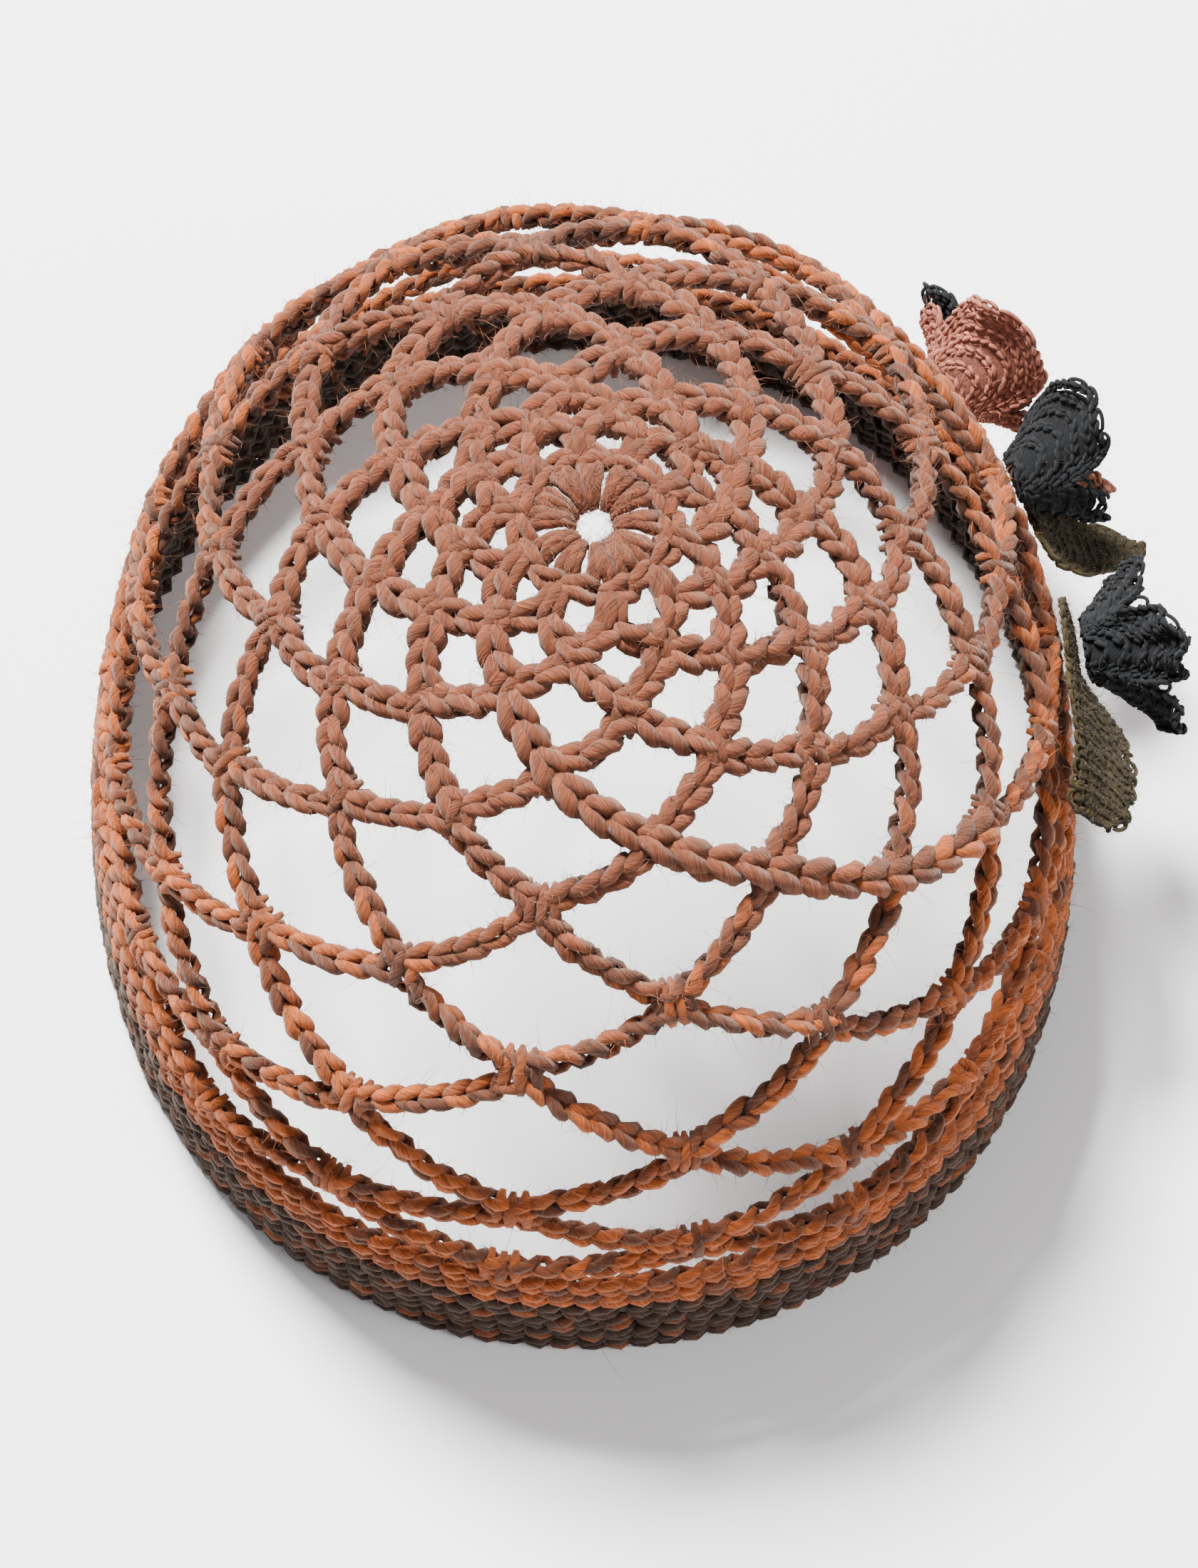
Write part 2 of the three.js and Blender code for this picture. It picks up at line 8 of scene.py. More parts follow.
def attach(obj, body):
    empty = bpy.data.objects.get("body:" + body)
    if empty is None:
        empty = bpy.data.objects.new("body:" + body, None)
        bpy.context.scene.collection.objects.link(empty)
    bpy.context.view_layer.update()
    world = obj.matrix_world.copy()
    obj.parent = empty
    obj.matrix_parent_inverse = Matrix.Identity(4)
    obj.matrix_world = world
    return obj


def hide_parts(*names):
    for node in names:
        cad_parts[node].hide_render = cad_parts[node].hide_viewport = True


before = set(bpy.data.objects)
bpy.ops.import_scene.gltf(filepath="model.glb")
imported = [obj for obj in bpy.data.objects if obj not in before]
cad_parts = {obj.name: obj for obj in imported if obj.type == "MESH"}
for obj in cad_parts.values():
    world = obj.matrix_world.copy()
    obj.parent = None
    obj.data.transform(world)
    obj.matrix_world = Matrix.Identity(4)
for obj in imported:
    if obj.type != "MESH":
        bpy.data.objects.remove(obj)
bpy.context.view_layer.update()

# A crochet flapper hat, made stitch by stitch: a rosette of posts, an open net of
# chain-stitch arches, a dense band, and a spray of flowers and leaves.
# Lengths are in millimetres until a mesh is made, and angles on the wall in degrees.
# An azimuth is counted from the back (-Y) towards the flowers (+X).

MM = 0.001
rng = np.random.default_rng(1923)

# Form of the hat, the same as the frame's
HALF_WIDTH = 84
HALF_LENGTH = 96.5
PLAN_POWER = 2.12
RIM_ARC = 168
MERIDIAN = dict(arc=[0, 30, 60, 90, 115, 140, 168], slope=[0, 17.5, 30.7, 53.4, 74, 82, 91])
MERIDIAN_STEP = 2
AXIS_X = -7.88
AZIMUTH_STEP = 2
ARC_STEP = 0.5
PAST_RIM = 8
SLOPE_REACH = 1.2

REPEATS = 10
PHASE = 7.6
CORD_THICKNESS = 4
CORD_BOW = 0.015
BAND_HEIGHT = 18
BAND_ROUNDS = 4
ROSETTE_POSTS = 12

# One row for each round of knots, from the crown outwards: how far it lies down the wall,
# how much further that is at the back, half the size of a knot across and along the wall,
# the radius of its strands, and the thickness of the yarn in the arches below
ROUNDS = [
    dict(arc=16, lean=0.4, across=2.7, along=3.9, strand=1.12, yarn=2.6),
    dict(arc=22.3, lean=1.0, across=2.9, along=3.4, strand=1.12, yarn=2.65),
    dict(arc=28.8, lean=2.3, across=3.0, along=3.6, strand=1.12, yarn=2.6),
    dict(arc=38.5, lean=3.0, across=3.3, along=3.9, strand=1.12, yarn=2.45),
    dict(arc=49, lean=3.2, across=3.6, along=3.7, strand=1.05, yarn=2.3),
    dict(arc=58.6, lean=3.9, across=3.8, along=3.8, strand=1.05, yarn=2.1),
    dict(arc=73.3, lean=5.6, across=3.8, along=3.8, strand=1.05, yarn=2.05),
    dict(arc=86, lean=5.2, across=3.8, along=3.7, strand=1.05, yarn=2.0),
    dict(arc=102.5, lean=4.8, across=3.8, along=3.6, strand=1.05, yarn=1.95),
    dict(arc=117.5, lean=4.2, across=3.8, along=3.4, strand=1.05, yarn=1.9),
    dict(arc=129, lean=2.6, across=3.8, along=3.2, strand=1.05, yarn=1.9),
    dict(arc=138.6, lean=1.2, across=3.8, along=3.0, strand=1.05, yarn=1.9),
]

# Where a flower is seated, its petals and how they are turned, their reach and what it
# gains to one side, how far out the notches and the flat base go, how high it sits, how
# far its petals lift and to which side they lift more, and how deep its edge ruffles
FLOWERS = [
    dict(
        name="front_flower_outer", yarn="rose", azimuth=133, height=41.5, petals=3, turn=-14,
        radius=12, extra=4.5, extra_at=-10, notch=8, base=5.5, seat=0,
        lift=6.5, tilt=0.5, tilt_at=-30, ruffle=0.7,
    ),
    dict(
        name="front_flower_inner", yarn="slate", azimuth=133, height=41.5, petals=4, turn=88,
        radius=10, extra=4, extra_at=90, notch=7.5, base=4.5, seat=4,
        lift=5, tilt=0.5, tilt_at=-40, ruffle=0.5,
    ),
    dict(
        name="middle_flower_outer", yarn="slate", azimuth=119, height=42.5, petals=3, turn=12,
        radius=11.2, extra=2.6, extra_at=20, notch=7, base=4.5, seat=0,
        lift=11.5, tilt=0.15, tilt_at=-30, ruffle=0.8,
    ),
    dict(
        name="middle_flower_inner", yarn="blush", azimuth=119, height=42.5, petals=5, turn=-155,
        radius=6, extra=0.8, extra_at=-100, notch=4.5, base=3, seat=2.8,
        lift=7.5, tilt=0.2, tilt_at=-90, ruffle=0.5,
    ),
    dict(
        name="side_flower", yarn="slate", azimuth=96, height=44, petals=5, turn=-30,
        radius=12.5, extra=2.5, extra_at=-60, notch=9, base=5, seat=2.6,
        lift=10, tilt=0.35, tilt_at=-40, ruffle=1.0,
    ),
]
SEAT_GAP = 0.9
PETAL_THICKNESS = 2.2

# A leaf's root, the way it points, its size, how much its ends taper, the share of it that
# lies flat, how far its tip lifts and how far one edge stands off
LEAVES = [
    dict(
        name="leaf_front", azimuth=115, height=38, heading=-162, length=15,
        width=13, taper=0.8, rest=0, lift=18, tilt=0,
    ),
    dict(
        name="leaf_back", azimuth=101, height=48, heading=-86, length=42,
        width=15, taper=0.4, rest=0.34, lift=2, tilt=11.5,
    ),
]
LEAF_THICKNESS = 2.2
LEAF_CUP = 0.2

# Yarn colours, as on a screen, 0 to 255
COLOURS = dict(
    dusty=(103, 59, 41), mauve=(85, 52, 39), rust=(146, 76, 36), taupe=(49, 35, 28),
    slate=(25, 27, 29), rose=(156, 96, 79), blush=(160, 106, 84), olive=(58, 48, 25),
)


def linear(name):
    """A named colour as linear light."""
    share = np.array(COLOURS[name]) / 255
    return np.where(share <= 0.04045, share / 12.92, ((share + 0.055) / 1.055) ** 2.4)


def smooth_step(low, high, value):
    """Rises from 0 at low to 1 at high."""
    share = np.clip((np.asarray(value, float) - low) / (high - low), 0, 1)
    return share * share * (3 - 2 * share)


# The form of the hat as a table over azimuth and arc length, read in between its places

def plan_radius(azimuth):
    """The hat's radius at its widest."""
    across = np.abs(np.sin(np.radians(azimuth))) / HALF_WIDTH
    along = np.abs(np.cos(np.radians(azimuth))) / HALF_LENGTH
    return (across ** PLAN_POWER + along ** PLAN_POWER) ** (-1 / PLAN_POWER)


def make_form():
    """Radii and heights down each meridian, and the height of the crown."""
    arcs = np.arange(0, RIM_ARC + 2 * MERIDIAN_STEP, MERIDIAN_STEP)
    slope = np.radians(np.interp(arcs + MERIDIAN_STEP / 2, MERIDIAN["arc"], MERIDIAN["slope"]))
    reach = np.concatenate([[0], np.cumsum(np.cos(slope)) * MERIDIAN_STEP])
    drop = np.concatenate([[0], np.cumsum(np.sin(slope)) * MERIDIAN_STEP])
    reach = reach / reach.max()
    height = drop[RIM_ARC // MERIDIAN_STEP]
    azimuths = np.arange(0, 360 + AZIMUTH_STEP, AZIMUTH_STEP)
    grid = np.arange(0, RIM_ARC + PAST_RIM, ARC_STEP)
    radii = np.zeros((len(azimuths), len(grid)))
    levels = np.zeros_like(radii)
    for i, azimuth in enumerate(azimuths):
        r = reach * plan_radius(azimuth)
        z = height - drop
        arc = np.concatenate([[0], np.cumsum(np.hypot(np.diff(r), np.diff(z)))])
        radii[i] = np.interp(grid, arc, r)
        levels[i] = np.interp(grid, arc, z)
        past = grid > arc[-1]
        levels[i, past] = z[-1] - (grid[past] - arc[-1])
    return radii, levels, height


FORM_RADII, FORM_LEVELS, CROWN_HEIGHT = make_form()


def read_form(table, azimuth, arc):
    """A value from a form table, read in between its places."""
    i = np.mod(azimuth, 360) / AZIMUTH_STEP
    j = np.clip(arc / ARC_STEP, 0, table.shape[1] - 1.001)
    i0 = np.floor(i).astype(int)
    j0 = np.floor(j).astype(int)
    i1 = np.minimum(i0 + 1, table.shape[0] - 1)
    fi = i - i0
    fj = j - j0
    low = table[i0, j0] * (1 - fj) + table[i0, j0 + 1] * fj
    high = table[i1, j0] * (1 - fj) + table[i1, j0 + 1] * fj
    return low * (1 - fi) + high * fi


def outside(azimuth, arc):
    """Points on the outside of the wall."""
    azimuth, arc = np.broadcast_arrays(azimuth, arc)
    radius = read_form(FORM_RADII, azimuth, arc)
    turn = np.radians(azimuth)
    level = read_form(FORM_LEVELS, azimuth, arc)
    return np.stack([radius * np.sin(turn) + AXIS_X, -radius * np.cos(turn), level], -1)


def unit(vectors):
    """The vectors at length 1."""
    return vectors / np.maximum(np.linalg.norm(vectors, axis=-1, keepdims=True), 1e-9)


def run_length(points):
    """How far along its line each point lies."""
    step = np.linalg.norm(np.diff(points, axis=-2), axis=-1)
    start = np.zeros((*step.shape[:-1], 1))
    return np.concatenate([start, np.cumsum(step, -1)], -1)


def outward(azimuth, arc):
    """Directions straight out of the wall."""
    low = np.maximum(arc - SLOPE_REACH, 0.4)
    down = outside(azimuth, low + 2 * SLOPE_REACH) - outside(azimuth, low)
    side = outside(azimuth + 1, arc) - outside(azimuth - 1, arc)
    return unit(np.cross(down, side))


def wall(azimuth, arc, depth):
    """Points at a depth below the outside of the wall."""
    return outside(azimuth, arc) - outward(azimuth, arc) * np.asarray(depth, float)[..., None]


def arc_at_height(azimuth, height):
    """How far down the wall that height lies."""
    azimuths = np.arange(0, 360 + AZIMUTH_STEP, AZIMUTH_STEP)
    grid = np.arange(FORM_LEVELS.shape[1]) * ARC_STEP
    arcs = np.array([np.interp(-height, -row, grid) for row in FORM_LEVELS])
    return np.interp(np.mod(azimuth, 360), azimuths, arcs)


def round_arc(row, azimuth):
    """How far down the wall a round of knots lies at an azimuth."""
    share = arc_at_height(azimuth, 0) / arc_at_height(0, 0)
    return row["arc"] * share + row["lean"] * np.cos(np.radians(azimuth))


# Meshes

class Bundle:
    """Collects closed bodies for one mesh, with a tint and a fibre direction at each vertex."""

    def __init__(self):
        self.points = []
        self.centres = []
        self.tints = []
        self.fibres = []
        self.faces = {3: [], 4: []}
        self.count = 0

    def add(self, points, centres, tints, fibres, quads, triangles):
        """Adds bodies, and lays on the floor what would reach below it."""
        points = np.maximum(points, [-np.inf, -np.inf, 0])
        for corners, faces in ((4, quads), (3, triangles)):
            if len(faces):
                self.faces[corners].append(np.asarray(faces) + self.count)
        self.points.append(points)
        self.centres.append(centres)
        self.tints.append(tints)
        self.fibres.append(fibres)
        self.count += len(points)

    def mesh(self, name, material):
        """Makes one object of all its bodies."""
        points = np.concatenate(self.points) * MM
        mesh = bpy.data.meshes.new(name)
        mesh.vertices.add(len(points))
        mesh.vertices.foreach_set("co", points.astype(np.float32).ravel())
        corners = []
        totals = []
        for size in (4, 3):
            for faces in self.faces[size]:
                corners.append(faces.ravel())
                totals.append(np.full(len(faces), size))
        corners = np.concatenate(corners)
        totals = np.concatenate(totals)
        mesh.loops.add(len(corners))
        mesh.loops.foreach_set("vertex_index", corners.astype(np.int32))
        mesh.polygons.add(len(totals))
        starts = np.concatenate([[0], np.cumsum(totals)[:-1]])
        mesh.polygons.foreach_set("loop_start", starts.astype(np.int32))
        mesh.update(calc_edges=True)
        mesh.polygons.foreach_set("use_smooth", np.ones(len(totals), bool))
        tint = mesh.color_attributes.new("tint", "FLOAT_COLOR", "POINT")
        colours = np.concatenate(self.tints)
        colours = np.concatenate([colours, np.ones((len(colours), 1))], 1)
        tint.data.foreach_set("color", colours.astype(np.float32).ravel())
        fibre = mesh.attributes.new("fibre", "FLOAT_VECTOR", "POINT")
        fibre.data.foreach_set("vector", np.concatenate(self.fibres).astype(np.float32).ravel())
        mesh.materials.append(material)
        piece = bpy.data.objects.new(name, mesh)
        bpy.context.scene.collection.objects.link(piece)
        return piece


# Yarn: two plies that wind round each other, swept along its path

YARN_SIDES = 6
FINE_SIDES = 5
PLY_LOBES = 2
PLY_DEPTH = 0.09
# Painted shade between the plies: the share by which the yarn is darker in their grooves and
# lighter on their crests
PLY_PAINTED_SHADE = 0.18
PLY_PITCH = 6.4
FIBRE_STRETCH = 0.12
END_TAPER = 0.45
YARN_STARTS = (0, 900)
WAVER_RATES = (1, 1.7, 2.9)


def sweep(bundle, paths, radii, tints, sides=YARN_SIDES, ply=PLY_DEPTH):
    """Adds yarn along paths, an array of routes with the same number of stations each."""
    paths = np.asarray(paths, float)
    routes, stations, _ = paths.shape
    radii = np.broadcast_to(radii, (routes, stations))
    tints = np.broadcast_to(tints, (routes, stations, 3))
    tangent = unit(np.gradient(paths, axis=1))
    length = run_length(paths) + rng.uniform(*YARN_STARTS, (routes, 1))
    guess = np.where(np.abs(tangent[:, 0, 2:3]) > 0.8, [[1.0, 0, 0]], [[0, 0, 1.0]])
    side = unit(np.cross(tangent[:, 0], guess))
    sideways = np.zeros_like(paths)
    for i in range(stations):
        side = unit(side - (side * tangent[:, i]).sum(-1, keepdims=True) * tangent[:, i])
        sideways[:, i] = side
    upward = np.cross(tangent, sideways)
    angle = np.arange(sides) * 2 * np.pi / sides
    spin = 2 * np.pi * length / PLY_PITCH
    phase = angle[None, None] - spin[..., None]
    reach = radii[..., None] * (1 + ply * np.cos(PLY_LOBES * phase))
    ends = np.ones(stations)
    ends[[0, -1]] = END_TAPER
    reach = reach * ends[None, :, None]
    ring = (
        sideways[:, :, None] * np.cos(angle)[None, None, :, None]
        + upward[:, :, None] * np.sin(angle)[None, None, :, None]
    )
    points = paths[:, :, None] + ring * reach[..., None]
    centres = np.broadcast_to(paths[:, :, None], points.shape)
    fibres = np.stack([
        radii[..., None] * np.cos(phase),
        radii[..., None] * np.sin(phase),
        np.broadcast_to(length[..., None] * FIBRE_STRETCH, phase.shape),
    ], -1)
    # Painted shade and light: the yarn is darker in the grooves between its plies and lighter on
    # their crests
    ply_shading = 1 + PLY_PAINTED_SHADE * np.cos(PLY_LOBES * phase)
    ply_shaded_tints = tints[:, :, None] * ply_shading[..., None]
    index = np.arange(stations * sides).reshape(stations, sides)
    low = index[:-1]
    high = index[1:]
    quads = np.stack([low, np.roll(low, -1, 1), np.roll(high, -1, 1), high], -1).reshape(-1, 4)
    caps = []
    for ring_index, order in ((index[0], -1), (index[-1], 1)):
        for corner in range(1, sides - 1):
            caps.append([ring_index[0], ring_index[corner], ring_index[corner + 1]][::order])
    offsets = np.arange(routes)[:, None, None] * stations * sides
    bundle.add(
        points.reshape(-1, 3), centres.reshape(-1, 3), ply_shaded_tints.reshape(-1, 3),
        fibres.reshape(-1, 3), (quads[None] + offsets).reshape(-1, 4),
        (np.array(caps)[None] + offsets).reshape(-1, 3),
    )


def spline(rows, places):
    """A smooth curve through the rows, read at those places, counted in rows."""
    rows = np.asarray(rows, float)
    padded = np.concatenate([[2 * rows[0] - rows[1]], rows, [2 * rows[-1] - rows[-2]]])
    i = np.minimum(places.astype(int), len(rows) - 2)
    t = (places - i)[:, None]
    a, b, c, d = padded[i], padded[i + 1], padded[i + 2], padded[i + 3]
    return 0.5 * (
        2 * b + (c - a) * t + (2 * a - 5 * b + 4 * c - d) * t ** 2
        + (3 * b - a - 3 * c + d) * t ** 3
    )


def waver(lengths, period, size):
    """A slow swing along a length, with a start of its own each time."""
    start = rng.uniform(0, 2 * np.pi, len(WAVER_RATES))
    swing = sum(
        np.sin(2 * np.pi * np.asarray(lengths) * k / period + start[n])
        for n, k in enumerate(WAVER_RATES)
    )
    return size * swing / len(WAVER_RATES)


# One stitch of a chain as its yarn runs, up one leg, round and back down its mirror image:
# how far on, in stitches, how far across and up from the middle of the chain, in yarn
# radii, and how full the yarn is there
STITCH_LEG = [
    dict(on=-0.24, across=-0.30, up=-0.55, full=0.76),
    dict(on=0.00, across=-0.30, up=0.30, full=0.84),
    dict(on=0.30, across=-0.58, up=0.92, full=1.02),
    dict(on=0.66, across=-1.04, up=0.84, full=1.10),
    dict(on=1.00, across=-1.26, up=0.10, full=1.00),
    dict(on=1.18, across=-0.80, up=-0.62, full=0.86),
]
STITCH = [
    *STITCH_LEG,
    dict(on=1.26, across=0.00, up=-0.90, full=0.82),
    *({**row, "across": -row["across"]} for row in reversed(STITCH_LEG)),
    dict(on=0.18, across=0.12, up=-1.30, full=0.84),
    dict(on=0.52, across=-0.14, up=-1.25, full=0.84),
]
# Where a stitch is read, in rows of that table: closest together at its two outer bends
FULL_SAMPLES = [
    0.4, 1.5, 2.5, 3.2, 3.7, 4.15, 4.6, 5.2, 6.0, 6.8, 7.4, 7.85, 8.3, 8.8, 9.5, 10.5, 11.7, 13.0,
    14.0,
]
LIGHT_SAMPLES = [0.5, 1.8, 2.9, 3.8, 4.6, 5.4, 6.6, 7.4, 8.2, 9.1, 10.2, 11.8, 13.5]
FINE_SAMPLES = [0.5, 2.2, 3.6, 4.4, 5.6, 6.4, 7.6, 8.4, 9.8, 12.0]
STITCH_WOBBLE = 0.09
# The room that a chain's ends need, in stitches: before its first one, and in all
CHAIN_LEAD = 0.1
CHAIN_ROOM = 0.3
CHAIN_DEPTH = CORD_THICKNESS / 2 - 0.1
# The lowest and highest yarn of a chain, in yarn radii, and the painted shade by height in the
# chain:
# the tint's share at the lowest, and how much lighter it is at the highest
PAINTED_SHADE_LEVELS = (-1.3, 0.9)
LOW_PAINTED_SHADE = 0.30
PAINTED_SHADE_GAIN = 0.94

# The arcs between which dusty yarn gives way, how far the rest leans to rust there, and
# the swing at which rust begins and is full
DUSTY_END = (50, 84)
RUST_LEAN = dict(arc=[50, 75, 100, 125, 140, 150], lean=[-1.2, -0.25, 0.2, 0.4, 0.5, 0.3])
RUST_EDGE = (-0.7, 0.8)
COLOUR_SWING = 1.5


def variegate(arc, yarn_length):
    """The yarn's tint at each place: dusty at the crown, rust and mauve by turns further out."""
    swing = waver(yarn_length, period=58, size=COLOUR_SWING)
    outer = smooth_step(*DUSTY_END, arc)
    lean = np.interp(arc, RUST_LEAN["arc"], RUST_LEAN["lean"])
    rust = smooth_step(*RUST_EDGE, swing + lean)[..., None] * outer[..., None]
    ground = linear("dusty") * (1 - outer[..., None]) + linear("mauve") * outer[..., None]
    tint = ground * (1 - rust) + linear("rust") * rust
    return tint * (1 + waver(yarn_length, period=17, size=0.16))[..., None]


def lay_chain(
    bundle, centre, normals, arcs, yarn_radius, pitch, roll, tint=variegate,
    samples=FULL_SAMPLES, sides=YARN_SIDES, depth=CHAIN_DEPTH,
):
    """Crochets a chain along a line, its middle that deep; roll turns it, in radians."""
    along = run_length(centre)
    stitches = max(int(round(along[-1] / pitch)), 1)
    rows = []
    for i in range(stitches):
        wobble = rng.normal(0, STITCH_WOBBLE, 3)
        for row in STITCH:
            rows.append([
                i + row["on"] + 0.4 * wobble[0],
                row["across"] * (1 + wobble[1]),
                row["up"] + wobble[2],
                row["full"],
            ])
    starts = np.arange(stitches)[:, None] * len(STITCH)
    curve = spline(rows, (starts + np.array(samples)).ravel())
    place = np.clip((curve[:, 0] + CHAIN_LEAD) / (stitches + CHAIN_ROOM), 0, 1) * along[-1]
    lines = (centre, unit(np.gradient(centre, axis=0)), normals)
    at, forward, up = (
        np.stack([np.interp(place, along, column) for column in line.T], -1) for line in lines
    )
    forward = unit(forward)
    side = unit(np.cross(forward, unit(up)))
    up = np.cross(side, forward)
    angle = roll(place)
    radius = yarn_radius * curve[:, 3] * (1 + waver(place, period=19, size=0.14))
    across = (curve[:, 1] * np.cos(angle) - curve[:, 2] * np.sin(angle)) * yarn_radius
    rise = (curve[:, 1] * np.sin(angle) + curve[:, 2] * np.cos(angle)) * yarn_radius
    path = at + side * across[:, None] + up * (rise - depth)[:, None]
    tints = tint(np.interp(place, along, arcs), run_length(path))
    # Painted shade: yarn low in the chain is darker, and yarn high in it lighter
    shade = LOW_PAINTED_SHADE + PAINTED_SHADE_GAIN * smooth_step(*PAINTED_SHADE_LEVELS, curve[:, 2])
    tints = tints * shade[:, None]
    sweep(bundle, path[None], radius[None], tints[None], sides=sides)


def chain_on_wall(bundle, azimuth, arc, **chain):
    """Crochets a chain along a line given by its azimuths and arcs."""
    lay_chain(bundle, outside(azimuth, arc), outward(azimuth, arc), arc, **chain)


# Net: arches of chain stitch, each caught in its middle by a knot of the next round

CHAIN_PITCH = 4.6
PITCH_SPREAD = (0.95, 1.05)
LOOSE_ROUNDS = 3
LOOSE_PITCH = 1.05
ARCH_STATIONS = 24
ARCH_LEAN = 0.28
# From this round on, that share of the arches are turned by this much, in radians
TURNED_FROM = 5
TURNED_SHARE = 0.2
TURNED_BY = 1.2
# How far below and above the middle of a knot an arch begins and ends
ARCH_START = 0.9
ARCH_END = 0.7
KNOT_JITTER = 0.9
# The repeat whose knot the seam passes in each round
SEAM_REPEATS = {2: -1, 3: -1, 4: 0, 5: 0, 6: 1, 7: 1}
SEAM_STATIONS = 120
SEAM_YARN = 1.38
SEAM_PITCH = 5.4


def knot_places():
    """Azimuths and arcs of the knots of each round."""
    places = []
    for i, row in enumerate(ROUNDS):
        azimuths = PHASE + 360 / REPEATS * (np.arange(REPEATS) + (i % 2) / 2)
        arcs = round_arc(row, azimuths)
        jitter = KNOT_JITTER * smooth_step(0, 8, i)
        radius = read_form(FORM_RADII, azimuths, arcs)
        azimuths = azimuths + np.degrees(rng.normal(0, jitter, REPEATS) / radius)
        places.append(dict(azimuth=azimuths, arc=arcs + rng.normal(0, 0.7 * jitter, REPEATS)))
    return places


KNOTS = knot_places()


def half_arch(i, upper, lower, side):
    """Azimuths and arcs down a cord from a knot of round i to one of round i + 1."""
    start = (KNOTS[i]["azimuth"][upper], KNOTS[i]["arc"][upper] + ARCH_START)
    end = (KNOTS[i + 1]["azimuth"][lower], KNOTS[i + 1]["arc"][lower] - ARCH_END)
    turn = (end[0] - start[0] + 180) % 360 - 180
    share = np.linspace(0, 1, ARCH_STATIONS)
    radius = read_form(FORM_RADII, start[0] + turn / 2, (start[1] + end[1]) / 2)
    run = math.radians(turn) * radius
    fall = end[1] - start[1]
    length = math.hypot(run, fall)
    bow = CORD_BOW * length * np.sin(np.pi * share)
    bow = bow + waver(share * length, period=34, size=0.45)
    ease = np.sin(np.pi * share)
    azimuth = start[0] + turn * share - np.degrees(bow * side * fall / length / radius)
    arc = start[1] + fall * share + bow * ease * abs(run) / length
    return azimuth, arc


def arch_line(i, k):
    """The line of one arch, down from a knot to the next round and up to its neighbour."""
    lower = (k + i % 2) % REPEATS
    left = half_arch(i, k, lower, 1)
    right = half_arch(i, (k + 1) % REPEATS, lower, -1)
    right_azimuth = right[0][::-1]
    right_azimuth = left[0][-1] + (right_azimuth - right_azimuth[0])
    azimuth = np.concatenate([left[0], right_azimuth[1:]])
    arc = np.concatenate([left[1], right[1][::-1][1:]])
    for _ in range(3):
        azimuth[1:-1] = (azimuth[:-2] + 2 * azimuth[1:-1] + azimuth[2:]) / 4
        arc[1:-1] = (arc[:-2] + 2 * arc[1:-1] + arc[2:]) / 4
    return azimuth, arc


def make_arches(rounds):
    """The arches that hang from those rounds of knots."""
    bundle = Bundle()
    for i in rounds:
        loose = LOOSE_PITCH if i < LOOSE_ROUNDS else 1
        for k in range(REPEATS):
            azimuth, arc = arch_line(i, k)
            lean = rng.normal(0, ARCH_LEAN)
            turned = TURNED_BY * (rng.random() < TURNED_SHARE) * (i >= TURNED_FROM)

            def roll(place, lean=lean, turned=turned):
                return lean + waver(place, period=55, size=0.5) + turned

            chain_on_wall(
                bundle, azimuth, arc, yarn_radius=ROUNDS[i]["yarn"] / 2,
                pitch=CHAIN_PITCH * loose * rng.uniform(*PITCH_SPREAD), roll=roll,
            )
    return bundle


def make_seam():
    """Where each round was closed: slip stitches that climb from knot to knot over the arches."""
    bundle = Bundle()
    knots = []
    for i, k in SEAM_REPEATS.items():
        knots.append([(KNOTS[i]["azimuth"][k] + 180) % 360 - 180, KNOTS[i]["arc"][k]])
    line = spline(knots, np.linspace(0, len(knots) - 1, SEAM_STATIONS))
    chain_on_wall(
        bundle, line[:, 0], line[:, 1], yarn_radius=SEAM_YARN, pitch=SEAM_PITCH, depth=1.0,
        roll=lambda place: waver(place, period=60, size=0.3) + 0.15,
    )
    return bundle


# A knot's strands: how deep their ends go, how far their tops stand out, the length of
# yarn from one to the next, and how far they slant
STRAND_STATIONS = 9
STRAND_FOOT = 3.3
STRAND_RISE = 0.5
STRAND_RUN = 40
STRAND_TILT = 0.16
# From this round on, that share of the knots have four strands, thinner by this factor
FOURS_FROM = 3
FOURS_SHARE = 0.25
FOURS_RADIUS = 0.88
# How far the knots of the first round are moved up to the rosette
FIRST_SHIFT = -1.2


def wrap_strands(bundle, azimuth, arc, across, along, count, yarn_radius):
    """Parallel strands of yarn that pass over the wall from one side of a knot to the other."""
    radius = float(read_form(FORM_RADII, azimuth, arc))
    paths = []
    tilt = rng.normal(0, STRAND_TILT)
    for offset in np.linspace(-1, 1, count):
        share = np.linspace(-1, 1, STRAND_STATIONS)
        reach = along * (1 + rng.normal(0, 0.06))
        x = offset * (across - yarn_radius) * (0.88 + 0.16 * share)
        x = x + tilt * share * reach + rng.normal(0, 0.12)
        y = share * reach
        lift = np.sqrt(np.clip(1 - share ** 2, 0, 1))
        depth = STRAND_FOOT - (STRAND_FOOT - yarn_radius + STRAND_RISE) * lift
        depth = depth + 0.4 * offset ** 2
        paths.append(wall(azimuth + np.degrees(x / radius), arc + y, depth))
    arcs = np.full(STRAND_STATIONS, arc)
    lengths = run_length(paths)
    tints = [variegate(arcs, row + STRAND_RUN * n) for n, row in enumerate(lengths)]
    swell = 1 + 0.10 * np.sin(np.pi * np.linspace(0, 1, STRAND_STATIONS))
    sweep(bundle, paths, yarn_radius * swell[None], tints)


def make_knots():
    """The knots of all rounds, three or four strands each."""
    bundle = Bundle()
    for i, row in enumerate(ROUNDS):
        shift = FIRST_SHIFT if i == 0 else 0
        for k in range(REPEATS):
            count = 4 if rng.random() < FOURS_SHARE and i >= FOURS_FROM else 3
            wrap_strands(
                bundle, KNOTS[i]["azimuth"][k], KNOTS[i]["arc"][k] + shift,
                row["across"], row["along"], count,
                row["strand"] * (FOURS_RADIUS if count == 4 else 1),
            )
    return bundle


# Hem and band: level rounds, each a chain on posts

